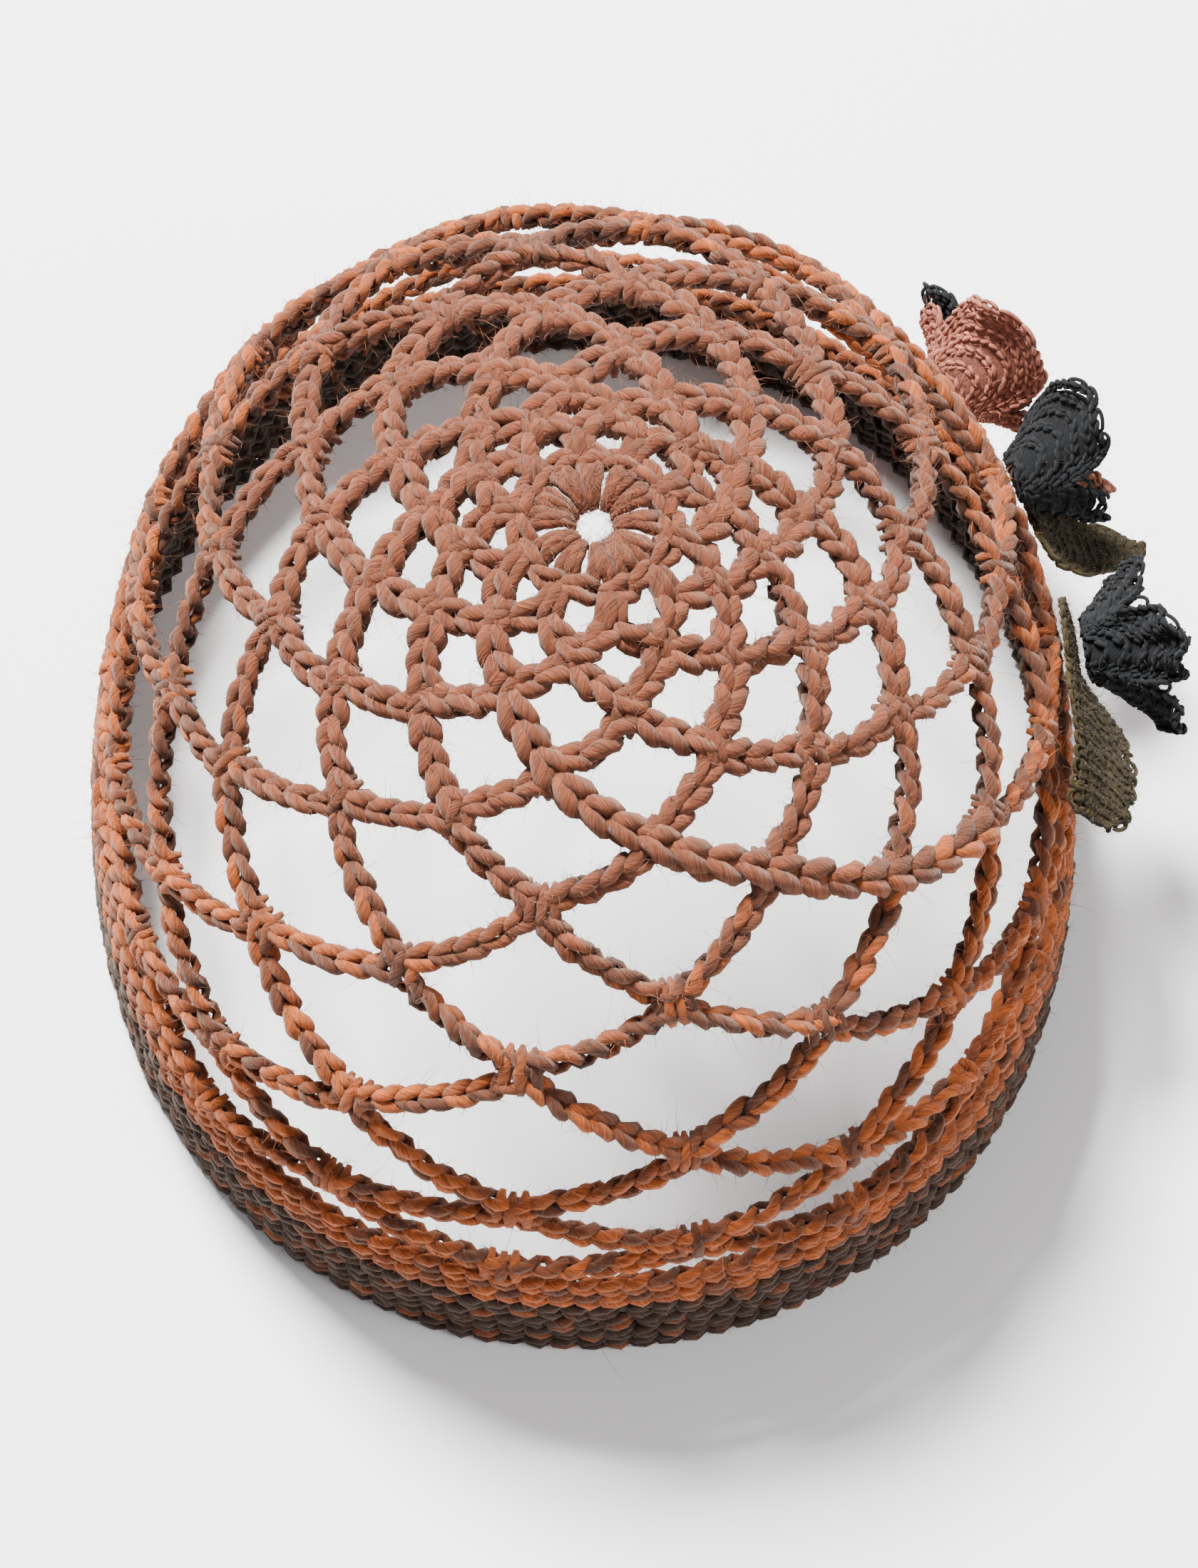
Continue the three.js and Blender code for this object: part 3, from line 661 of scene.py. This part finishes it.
GIRTH = math.pi * (HALF_WIDTH + HALF_LENGTH)
ROUND_STATIONS = 400
POST_SPACING = 3.0
POST_RADIUS = 1.15
POST_DEPTHS = (2.4, 2.0, 2.0, 2.4)
# Painted shade: the posts lie behind the chain and are tinted darker than its yarn by this share
POST_PAINTED_SHADE = 0.8
POST_YARN = 3
HEM_POSTS = dict(height=20.6, tall=7.4)
HEM_ROUNDS = [dict(height=24.4, yarn_radius=0.95), dict(height=20.4, yarn_radius=1.08)]
HEM_PITCH = 4.3
BAND_YARN = 1.12
BAND_PITCH = 4.4


def add_posts(bundle, height, tall, tint):
    """Upright legs of the stitches of one round, behind its chain."""
    azimuths = np.linspace(0, 360, int(GIRTH / POST_SPACING), endpoint=False)
    share = np.linspace(-1, 1, len(POST_DEPTHS))
    paths = []
    for azimuth in azimuths:
        lean = rng.normal(0.5, 0.15)
        arc = arc_at_height(azimuth, height) - tall / 2 * share
        paths.append(wall(azimuth + lean * share, arc, POST_DEPTHS))
    arcs = arc_at_height(azimuths, height)[:, None] + np.zeros(len(POST_DEPTHS))
    # Painted shade: the posts behind the chain are darker than its yarn
    tints = tint(arcs, azimuths[:, None] * GIRTH / 360 * POST_YARN + share) * POST_PAINTED_SHADE
    sweep(bundle, paths, POST_RADIUS, tints, sides=FINE_SIDES, ply=0)


def add_round(bundle, height, yarn_radius, pitch, tint):
    """A level chain round the wall, from a place of its own."""
    azimuth = rng.uniform(0, 360) + np.linspace(0, 360, ROUND_STATIONS)
    chain_on_wall(
        bundle, azimuth, arc_at_height(azimuth, height), yarn_radius=yarn_radius, pitch=pitch,
        roll=lambda place: waver(place, period=70, size=0.12), tint=tint, samples=LIGHT_SAMPLES,
    )


def make_hem():
    """The dense rounds that close the net above the band."""
    bundle = Bundle()
    add_posts(bundle, HEM_POSTS["height"], HEM_POSTS["tall"], variegate)
    for row in HEM_ROUNDS:
        add_round(bundle, row["height"], row["yarn_radius"], HEM_PITCH, variegate)
    return bundle


def band_tint(arc, yarn_length):
    """Taupe with flecks of rust."""
    swing = waver(yarn_length, period=64, size=COLOUR_SWING)
    fleck = smooth_step(0.3, 1.2, swing)[..., None] * 0.6
    ground = linear("taupe") * (1 + waver(yarn_length, period=31, size=0.2))[..., None]
    return ground * (1 - fleck) + linear("rust") * fleck * 0.8


def make_band():
    """The rounds of the band, from the rim up."""
    bundle = Bundle()
    spacing = BAND_HEIGHT / BAND_ROUNDS
    for n in range(BAND_ROUNDS):
        height = spacing * (n + 0.5)
        add_posts(bundle, height, spacing, band_tint)
        add_round(bundle, height, BAND_YARN, BAND_PITCH, band_tint)
    return bundle


# Rosette: posts of three strands each, and a chain round their feet

# One strand of a post, from under the centre hole out to its foot
STRAND = dict(
    arc=[3.9, 3.6, 4.1, 5.6, 7.2, 8.9, 10.3, 11.2, 11.4],
    depth=[3.9, 2.9, 1.7, 0.95, 0.7, 0.9, 1.7, 2.9, 3.6],
    radius=[0.62, 0.66, 0.74, 0.92, 1.10, 1.20, 1.12, 0.95, 0.85],
)
# A post's two side strands and the one that crosses over them: how far off its middle they
# lie, in posts, how far they stand out, their slant and how full they are
POST_STRANDS = [
    dict(offset=-0.21, over=0.0, slant=0, full=1),
    dict(offset=0.21, over=0.0, slant=0, full=1),
    dict(offset=0.05, over=0.55, slant=0.16, full=0.85),
]
# The crossing strand leaves the table's line at that arc and ends at this foot
CROSSING_END = 9.5
CROSSING_FOOT = dict(offset=0.2, arc=10.0, depth=1.9, radius=0.75)
POST_START = 4
POST_RUN = 7
POST_STATIONS = 22
STRAND_LENGTH = 14
RING_ARC = 12.0
RING_YARN = 1.1
RING_PITCH = 5.0


def dusty_tint(arc, yarn_length):
    """The yarn's tint at the crown."""
    return linear("dusty") * (1 + waver(yarn_length, period=23, size=0.10))[..., None]


def make_rosette():
    """The ring of posts about the centre hole, and the chain round it."""
    bundle = Bundle()
    spacing = 360 / ROSETTE_POSTS
    paths = []
    radii = []
    for post in range(ROSETTE_POSTS):
        middle = post * spacing + rng.normal(0, 1.8)
        raised = rng.normal(0, 0.28)
        for strand in POST_STRANDS:
            over = strand["over"]
            lean = rng.normal(0, 0.05) + strand["slant"]
            rows = []
            for arc, depth, radius in zip(*STRAND.values()):
                if over and arc > CROSSING_END:
                    continue
                out = (arc - POST_START) / POST_RUN
                spread = strand["offset"] * (0.9 + 0.2 * out) + lean * (out - 0.5)
                rows.append([
                    middle + spread * spacing,
                    arc + rng.normal(0, 0.10),
                    depth + raised - over * math.sin(math.pi * min(max(out, 0), 1)),
                    radius * strand["full"],
                ])
            if over:
                foot = CROSSING_FOOT
                rows.append([
                    middle + foot["offset"] * spacing, foot["arc"], foot["depth"], foot["radius"],
                ])
            curve = spline(rows, np.linspace(0, len(rows) - 1, POST_STATIONS))
            paths.append(wall(curve[:, 0], curve[:, 1], curve[:, 2]))
            radii.append(curve[:, 3])
    run = np.linspace(0, STRAND_LENGTH, POST_STATIONS)
    tints = [dusty_tint(0, run + 30 * n) for n in range(len(paths))]
    sweep(bundle, paths, radii, tints)
    azimuth = np.linspace(0, 360, 160)
    arc = RING_ARC + 0.25 * np.sin(np.radians(azimuth * 6))
    chain_on_wall(
        bundle, azimuth, arc, yarn_radius=RING_YARN, pitch=RING_PITCH,
        roll=lambda place: waver(place, period=30, size=0.35) - 0.2, tint=dusty_tint,
    )
    return bundle


# Flowers and leaves: rows of fine stitches worked on a thin sheet, with looped edges

ROW_PITCH = 1.75
FINE_YARN = 0.46
FINE_STITCH = 1.9
SHEET_HALF = 0.35
# Painted shade: the backing sheet is tinted darker than its yarn by this share, as shade in the
# gaps between the rows
SHEET_PAINTED_SHADE = 0.8


def wrapper(azimuth, height):
    """A function that wraps places across, up and out from a seat on the wall."""
    arc = float(arc_at_height(azimuth, height))
    degree = math.radians(1) * float(read_form(FORM_RADII, azimuth, arc))

    def place(across, up, out):
        return wall(azimuth + across / degree, arc - up, -np.asarray(out, float))

    return place


def plain_tint(name, spread):
    """A tint function for yarn of one colour that varies a little along its length."""

    def tint(arc, yarn_length):
        return linear(name) * (1 + waver(yarn_length, period=13, size=spread))[..., None]

    return tint


def add_sheet(bundle, middle, normals, tint, closed):
    """A thin sheet about a grid of points, joined round its edges."""
    rows, columns, _ = middle.shape
    size = rows * columns
    index = np.arange(size).reshape(rows, columns)
    follow = np.roll(index, -1, 1) if closed else index[:, 1:]
    base = index if closed else index[:, :-1]
    over = np.stack([base[:-1], base[1:], follow[1:], follow[:-1]], -1).reshape(-1, 4)
    edges = [(base[-1], follow[-1]), (follow[0], base[0])]
    if not closed:
        edges.append((index[:-1, 0], index[1:, 0]))
        edges.append((index[1:, -1], index[:-1, -1]))
    rims = [np.stack([a, b, b + size, a + size], -1) for a, b in edges]
    points = np.concatenate([middle + SHEET_HALF * normals, middle - SHEET_HALF * normals])
    points = points.reshape(-1, 3)
    centres = np.concatenate([middle.reshape(-1, 3)] * 2)
    tints = np.broadcast_to(tint, points.shape) * rng.uniform(0.8, 1.2, (len(points), 1))
    quads = np.concatenate([over, over[:, ::-1] + size, *rims])
    bundle.add(points, centres, tints, points.copy(), quads, [])


def picots(bundle, base, outwards, name, span, height, yarn_radius, closed, skip):
    """Small open loops along an edge, from every second station of it to the next but one."""
    paths = []
    for i in range(0, len(base) if closed else len(base) - 2, 2):
        if rng.random() < skip:
            continue
        first = base[i]
        last = base[(i + 2) % len(base)]
        reach = outwards[(i + 1) % len(base)]
        share = np.linspace(0, 1, 8)
        bulge = np.sin(np.pi * share) * height * rng.uniform(0.7, 1.2)
        middle = (first + last) / 2
        chord = first + (last - first) * share[:, None]
        chord = middle + (chord - middle) * (1 + span * np.sin(np.pi * share))[:, None]
        paths.append(chord + reach * bulge[:, None])
    shade = linear(name) * rng.uniform(0.85, 1.2, (len(paths), 1, 1))
    sweep(bundle, paths, yarn_radius, shade, sides=FINE_SIDES, ply=0)


def lay_row(bundle, line, normals, name):
    """One row of fine stitches."""
    lean = rng.normal(0, 0.2)
    lay_chain(
        bundle, line, normals, np.zeros(len(line)), FINE_YARN, FINE_STITCH,
        lambda place: lean + waver(place, period=16, size=0.5),
        tint=plain_tint(name, spread=0.18), samples=FINE_SAMPLES, sides=FINE_SIDES, depth=0,
    )


FLOWER_ANGLES = 96
FLOWER_RINGS = 12
FLOWER_STATIONS = 220
PETAL_POWER = 0.7
WILD_WAVES = (3, 5, 8, 13)
FIRST_ROW = 1.3
FLOWER_PICOTS = dict(span=0.2, height=1.2, yarn_radius=0.36, closed=True, skip=0.25)


def make_flower(flower):
    """One whorl of petals, worked in rounds from its middle out."""
    bundle = Bundle()
    place = wrapper(flower["azimuth"], flower["height"])
    petals = flower["petals"]
    starts = rng.uniform(0, 2 * np.pi, len(WILD_WAVES))

    def surface(angle, share):
        petal = np.abs(np.cos(np.radians((angle - flower["turn"]) * petals / 2))) ** PETAL_POWER
        wild = sum(
            np.cos(np.radians(angle * n) + start) / n ** 0.5
            for n, start in zip(WILD_WAVES, starts)
        )
        reach = flower["radius"] + flower["extra"] * np.cos(np.radians(angle - flower["extra_at"]))
        edge = flower["notch"] + np.maximum(reach - flower["notch"], 0) * petal
        r = share * edge * (1 + 0.02 * wild)
        lifted = np.maximum(r - flower["base"], 0) / (flower["radius"] - flower["base"])
        lean = 1 + flower["tilt"] * np.cos(np.radians(angle - flower["tilt_at"]))
        cup = flower["lift"] * lean * (1.35 * lifted - 0.35 * lifted ** 2)
        swing = np.cos(np.radians((angle - flower["turn"]) * petals * 3)) + 0.6 * wild
        out = SEAT_GAP + flower["seat"] + PETAL_THICKNESS / 2 + cup
        out = out + flower["ruffle"] * swing * np.abs(share) ** 2.5
        return place(r * np.sin(np.radians(angle)), r * np.cos(np.radians(angle)), out)

    def facing(angle, share):
        ring = surface(angle + 1, share) - surface(angle - 1, share)
        spoke = surface(angle, share + 0.03) - surface(angle, share - 0.03)
        return unit(np.cross(spoke, ring))

    angle, share = np.meshgrid(
        np.linspace(0, 360, FLOWER_ANGLES, endpoint=False), np.linspace(0.04, 0.93, FLOWER_RINGS),
    )
    # Painted shade: the sheet under the rows is darker than their yarn
    shade = linear(flower["yarn"]) * SHEET_PAINTED_SHADE
    add_sheet(bundle, surface(angle, share), facing(angle, share), shade, closed=True)
    ring = np.linspace(0, 360, FLOWER_STATIONS)
    furthest = flower["radius"] + flower["extra"]
    rows = int(round(furthest / ROW_PITCH))
    for level in np.linspace(FIRST_ROW / furthest, 1, rows):
        line = ring + rng.uniform(0, 360)
        lay_row(bundle, surface(line, level), facing(line, level), flower["yarn"])
    edge = np.linspace(0, 360, 2 * int(flower["radius"] * 2.4), endpoint=False)
    reach = unit(surface(edge, 1.0) - surface(edge, 0.9))
    picots(bundle, surface(edge, 1.0) + 0.7 * reach, reach, flower["yarn"], **FLOWER_PICOTS)
    return bundle


LEAF_ROWS = 46
LEAF_COLUMNS = 9
LEAF_SHEET = 0.76
LEAF_STATIONS = 120
LEAF_TOOTH = 4.2
LEAF_POST = 3.2
LEAF_POST_RADIUS = 0.5
LEAF_PICOTS = dict(span=0.3, height=1.3, yarn_radius=0.38, closed=False, skip=0.2)


def make_leaf(leaf):
    """One leaf, its edge joined on by posts."""
    bundle = Bundle()
    place = wrapper(leaf["azimuth"], leaf["height"])
    heading = math.radians(leaf["heading"])

    def surface(share, side):
        share = np.clip(share, 0, 1)
        fullness = np.clip(np.sin(np.pi * share ** 0.8), 0, 1) ** leaf["taper"]
        tooth = 0.95 + 0.05 * np.cos(share * leaf["length"] * 2 * np.pi / LEAF_TOOTH)
        half = np.maximum(leaf["width"] / 2 * fullness * tooth, 0.8)
        raised = np.maximum(share - leaf["rest"], 0) / (1 - leaf["rest"])
        slope = leaf["tilt"] * half / leaf["width"] * np.sqrt(raised)
        cup = LEAF_CUP * half * np.abs(side) * raised
        out = SEAT_GAP + LEAF_THICKNESS / 2 + leaf["lift"] * raised ** 2 + cup + slope * (1 - side)
        out = out + 0.7 * raised * np.sin(share * 9 + side * 2) * side ** 2
        forward = leaf["length"] * share
        across = side * half * math.cos(heading) + forward * math.sin(heading)
        up = forward * math.cos(heading) - side * half * math.sin(heading)
        return place(across, up, out)

    def facing(share, side):
        along = surface(share + 0.02, side) - surface(share - 0.02, side)
        spread = surface(share, side + 0.1) - surface(share, side - 0.1)
        return unit(np.cross(along, spread))

    share, side = np.meshgrid(
        np.linspace(0.01, 0.985, LEAF_ROWS), np.linspace(-LEAF_SHEET, LEAF_SHEET, LEAF_COLUMNS),
        indexing="ij",
    )
    # Painted shade: the sheet under the rows is darker than their yarn
    shade = linear("olive") * SHEET_PAINTED_SHADE
    add_sheet(bundle, surface(share, side), facing(share, side), shade, closed=False)
    # Rows that run from root to tip, an edge joined on by posts, and loops along it
    run = np.linspace(0.02, 0.98, LEAF_STATIONS)
    inner = LEAF_SHEET - 0.08
    rows = 2 * int(round(inner * leaf["width"] / 2 / ROW_PITCH)) + 1
    for side in [*np.linspace(-inner, inner, rows), -1.0, 1.0]:
        lay_row(bundle, surface(run, side), facing(run, side), "olive")
    posts = []
    for side in (-1.0, 1.0):
        for at in np.arange(0.05, 0.97, LEAF_POST / leaf["length"]):
            posts.append(surface(at, side * np.linspace(inner, 1, 5)))
        edge = np.linspace(0.04, 1, 2 * int(leaf["length"] * 0.42))
        reach = unit(surface(edge, side) - surface(edge, 0.8 * side))
        picots(bundle, surface(edge, side) + 0.6 * reach, reach, "olive", **LEAF_PICOTS)
    sweep(bundle, posts, LEAF_POST_RADIUS, linear("olive"), sides=FINE_SIDES, ply=0)
    return bundle


# Fuzz: fine fibres that stand off the yarn

LOWEST_FIBRE = 0.1
PALE_FIBRE = 0.012
FIBRE_WAIST = 0.75
FIBRE_SIDES = dict(long=[[0, 1, 4, 3], [1, 2, 5, 4], [2, 0, 3, 5]], short=[])
FIBRE_ENDS = dict(
    long=[[2, 1, 0], [3, 4, 6], [4, 5, 6], [5, 3, 6]],
    short=[[0, 1, 3], [1, 2, 3], [2, 0, 3], [2, 1, 0]],
)


def add_fibres(bundle, source, amount, kind, length, thickness, lighten):
    """Closed, tapered fibres rooted on another piece's yarn, none below the floor."""
    points = np.concatenate(source.points)
    centres = np.concatenate(source.centres)
    tints = np.concatenate(source.tints)
    pick = rng.integers(0, len(points), amount)
    root = points[pick]
    out = unit(points[pick] - centres[pick])
    wander = unit(rng.normal(0, 1, (amount, 3)))
    direction = unit(out * rng.uniform(0.05, 0.9, (amount, 1)) + wander * 0.9)
    curl = unit(np.cross(direction, unit(rng.normal(0, 1, (amount, 3)))))
    other = np.cross(direction, curl)
    reach = length * rng.gamma(3.0, 0.33, (amount, 1))
    bend = rng.uniform(0.3, 1.1, (amount, 1))
    middle = root + reach * (0.55 * direction + 0.25 * bend * curl)
    tip = root + reach * (direction + bend * curl)
    keep = np.minimum(middle[:, 2], tip[:, 2]) > LOWEST_FIBRE
    angle = np.arange(3) * 2 * np.pi / 3
    ring = thickness * (
        curl[:, None] * np.cos(angle)[None, :, None]
        + other[:, None] * np.sin(angle)[None, :, None]
    )
    rings = [root[:, None] + ring]
    if kind == "long":
        rings.append(middle[:, None] + FIBRE_WAIST * ring)
    verts = np.concatenate([*rings, tip[:, None]], 1)[keep]
    size = verts.shape[1]
    offsets = np.arange(len(verts))[:, None, None] * size
    quads = FIBRE_SIDES[kind]
    glint = rng.uniform(0.7, 1.5, (amount, 1))[keep]
    shade = np.repeat(tints[pick][keep] * lighten * glint + PALE_FIBRE, size, axis=0)
    verts = verts.reshape(-1, 3)
    bundle.add(
        verts, verts, shade, verts,
        (np.array(quads)[None] + offsets).reshape(-1, 4) if quads else [],
        (np.array(FIBRE_ENDS[kind])[None] + offsets).reshape(-1, 3),
    )


# Materials

def set_inputs(node, **values):
    """Sets a node's sockets, which are named here with _ for a space."""
    for name, value in values.items():
        node.inputs[name.replace("_", " ")].default_value = value
    return node


def multiply(tree, a, b):
    """The product of two colour outputs."""
    mix = tree.nodes.new("ShaderNodeMix")
    mix.data_type = "RGBA"
    mix.blend_type = "MULTIPLY"
    mix.inputs["Factor"].default_value = 1
    tree.links.new(a, mix.inputs["A"])
    tree.links.new(b, mix.inputs["B"])
    return mix.outputs["Result"]


def yarn_material(name, scale, streak, bump, sheen, sheen_tint, warm, cool):
    """Wool in the mesh's own tint, streaked and warm or cool along its fibres."""
    material = bpy.data.materials.new(name)
    material.use_nodes = True
    tree = material.node_tree
    nodes = tree.nodes
    links = tree.links
    shader = set_inputs(
        nodes["Principled BSDF"], Roughness=0.88, Sheen_Weight=sheen, Sheen_Roughness=0.45,
        Sheen_Tint=(*sheen_tint, 1), Specular_IOR_Level=0.15,
    )
    tint = nodes.new("ShaderNodeAttribute")
    tint.attribute_name = "tint"
    fibre = nodes.new("ShaderNodeAttribute")
    fibre.attribute_name = "fibre"
    noise = "ShaderNodeTexNoise"
    fine = set_inputs(nodes.new(noise), Scale=scale, Detail=5, Roughness=0.65)
    broad = set_inputs(nodes.new(noise), Scale=scale * 0.55, Detail=2)
    links.new(fibre.outputs["Vector"], fine.inputs["Vector"])
    links.new(fibre.outputs["Vector"], broad.inputs["Vector"])
    streaks = set_inputs(
        nodes.new("ShaderNodeMapRange"), From_Min=0.3, From_Max=0.7,
        To_Min=1 - streak, To_Max=1 + streak,
    )
    links.new(fine.outputs["Fac"], streaks.inputs["Value"])
    share = set_inputs(nodes.new("ShaderNodeMapRange"), From_Min=0.4, From_Max=0.6)
    links.new(broad.outputs["Fac"], share.inputs["Value"])
    hue = nodes.new("ShaderNodeMix")
    hue.data_type = "RGBA"
    set_inputs(hue, A=(*warm, 1), B=(*cool, 1))
    links.new(share.outputs["Result"], hue.inputs["Factor"])
    dyed = multiply(tree, tint.outputs["Color"], hue.outputs["Result"])
    toned = multiply(tree, dyed, streaks.outputs["Result"])
    links.new(toned, shader.inputs["Base Color"])
    relief = set_inputs(nodes.new("ShaderNodeBump"), Strength=bump, Distance=0.0006)
    links.new(fine.outputs["Fac"], relief.inputs["Height"])
    links.new(relief.outputs["Normal"], shader.inputs["Normal"])
    return material


warm_sheen = (1.0, 0.86, 0.74)
plain = (1.0, 1.0, 1.0)
worsted = dict(
    scale=2.6, streak=0.65, bump=0.8, sheen=0.2, sheen_tint=warm_sheen,
    warm=(1.0, 0.84, 0.70), cool=(0.84, 0.84, 0.84),
)
net_material = yarn_material("net_yarn_wool", **worsted)
band_material = yarn_material("band_yarn_wool", **worsted)
flower_material = yarn_material(
    "flower_yarn", scale=4.0, streak=0.6, bump=0.8, sheen=0.05, sheen_tint=(0.9, 0.9, 0.95),
    warm=plain, cool=(0.85, 0.85, 0.85),
)
fuzz_material = yarn_material(
    "loose_fibres", scale=1.0, streak=0.10, bump=0.0, sheen=0.15, sheen_tint=warm_sheen,
    warm=plain, cool=plain,
)

# The pieces, made in the order of their random draws

bundles = {}


def finish_piece(name, bundle, material, node=None):
    """One piece that rides the hat's body, in place of a node if one is named."""
    piece = bundle.mesh(name, material)
    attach(piece, "root")
    if node:
        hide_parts(node)
    bundles[name] = bundle


def add_fuzz(name, slot, kind, length, thickness, lighten=1.2, **amounts):
    """Fibres on the pieces named, as many on each as it says."""
    bundle = Bundle()
    for source, amount in amounts.items():
        add_fibres(bundle, bundles[source], amount, kind, length, thickness, lighten)
    finish_piece(name, bundle, fuzz_material)


finish_piece("rosette_posts", make_rosette(), net_material, "crown_rosette")
finish_piece("net_arches_crown", make_arches(range(0, 6)), net_material, "crown_net")
finish_piece("net_arches_side", make_arches(range(6, 11)), net_material)
finish_piece("net_seam", make_seam(), net_material)
finish_piece("net_knots", make_knots(), net_material)
finish_piece("net_hem_rounds", make_hem(), net_material)
finish_piece("band_rounds", make_band(), band_material, "rim_band")
for flower in FLOWERS:
    finish_piece(
        flower["name"] + "_stitches", make_flower(flower), flower_material,
        flower["name"],
    )
for leaf in LEAVES:
    finish_piece(
        leaf["name"] + "_stitches", make_leaf(leaf), flower_material, leaf["name"],
    )

add_fuzz(
    "crown_long_fuzz", "net_yarn", "long", length=3.0, thickness=0.042,
    rosette_posts=300, net_arches_crown=1800,
)
add_fuzz(
    "crown_short_fuzz", "net_yarn", "short", length=1.2, thickness=0.06,
    rosette_posts=3300, net_arches_crown=22500,
)
add_fuzz(
    "side_long_fuzz", "net_yarn", "long", length=3.2, thickness=0.042,
    net_arches_side=2000, net_knots=700, net_hem_rounds=500, band_rounds=700,
)
add_fuzz(
    "side_short_fuzz", "net_yarn", "short", length=1.2, thickness=0.06,
    net_arches_side=23000, net_knots=8500, net_hem_rounds=6000, band_rounds=6500,
)
add_fuzz(
    "spray_fuzz", "olive_yarn", "short", length=1.3, thickness=0.05, lighten=1.25,
    front_flower_outer_stitches=1900, front_flower_inner_stitches=1000,
    middle_flower_outer_stitches=1700, middle_flower_inner_stitches=500,
    side_flower_stitches=1900, leaf_front_stitches=1400, leaf_back_stitches=2600,
)

# Floor, light and camera

FLOOR_REACH = 4.0
LIGHT_DISTANCE = 1.8
LIGHT_AIM = Vector((AXIS_X * MM, 0, 0.05))

floor_mesh = bpy.data.meshes.new("floor")
near, far = -FLOOR_REACH, FLOOR_REACH
floor_mesh.from_pydata(
    [(near, near, 0), (far, near, 0), (far, far, 0), (near, far, 0)], [], [(0, 1, 2, 3)],
)
floor = bpy.data.objects.new("floor", floor_mesh)
bpy.context.scene.collection.objects.link(floor)
floor_material = bpy.data.materials.new("floor_paper")
floor_material.use_nodes = True
floor_shader = floor_material.node_tree.nodes["Principled BSDF"]
set_inputs(floor_shader, Base_Color=(0.955, 0.955, 0.96, 1), Roughness=0.8)
floor_mesh.materials.append(floor_material)

world = bpy.data.worlds.new("studio")
bpy.context.scene.world = world
world.use_nodes = True
set_inputs(world.node_tree.nodes["Background"], Color=(0.93, 0.95, 1.0, 1), Strength=0.40)


def add_light(name, direction, size, watts, colour):
    """A round lamp that shines on the middle of the hat from that direction."""
    light = bpy.data.lights.new(name, "AREA")
    light.shape = "DISK"
    light.size = size
    light.energy = watts
    light.color = colour
    lamp = bpy.data.objects.new(name, light)
    lamp.location = LIGHT_AIM + Vector(direction).normalized() * LIGHT_DISTANCE
    lamp.rotation_euler = (LIGHT_AIM - lamp.location).to_track_quat("-Z", "Y").to_euler()
    bpy.context.scene.collection.objects.link(lamp)


add_light("window_light", (-0.3, 0.6, 1.0), size=0.55, watts=184, colour=(1.0, 0.99, 0.97))
add_light("room_fill", (1.0, -0.5, 0.8), size=1.0, watts=22, colour=(1.0, 0.97, 0.94))

# The photograph's viewpoint: distance from the crown, angles, and where its frame looks
CAMERA_DISTANCE = 0.8
CAMERA_ELEVATION = 61.86
CAMERA_AZIMUTH = -4.29
CAMERA_ROLL = 2.51
FOCAL_PIXELS = 7283.09
FRAME_PIXELS = (1680, 2198)
CROWN_PIXEL = (834.52, 725.05)
SENSOR_WIDTH = 36

tilt = math.radians(CAMERA_ELEVATION)
turn = math.radians(CAMERA_AZIMUTH)
back = np.array([
    math.sin(turn) * math.cos(tilt), -math.cos(turn) * math.cos(tilt), math.sin(tilt),
])
right = np.array([math.cos(turn), math.sin(turn), 0])
up = np.cross(back, right)
roll = math.radians(CAMERA_ROLL)
right, up = (
    right * math.cos(roll) + up * math.sin(roll), -right * math.sin(roll) + up * math.cos(roll),
)
eye = np.array([AXIS_X, 0, CROWN_HEIGHT]) * MM + back * CAMERA_DISTANCE
aim = (
    -back + right * (FRAME_PIXELS[0] / 2 - CROWN_PIXEL[0]) / FOCAL_PIXELS
    - up * (FRAME_PIXELS[1] / 2 - CROWN_PIXEL[1]) / FOCAL_PIXELS
)
aim = unit(aim)
side = unit(np.cross(aim, up))
top = np.cross(side, aim)
camera_data = bpy.data.cameras.new("camera")
camera_data.sensor_fit = "AUTO"
camera_data.sensor_width = SENSOR_WIDTH
camera_data.lens = FOCAL_PIXELS / FRAME_PIXELS[1] * SENSOR_WIDTH
camera_data.clip_start = 0.05
camera = bpy.data.objects.new("camera", camera_data)
camera.matrix_world = Matrix((*zip(side, top, -aim, eye), (0, 0, 0, 1)))
bpy.context.scene.collection.objects.link(camera)
bpy.context.scene.camera = camera
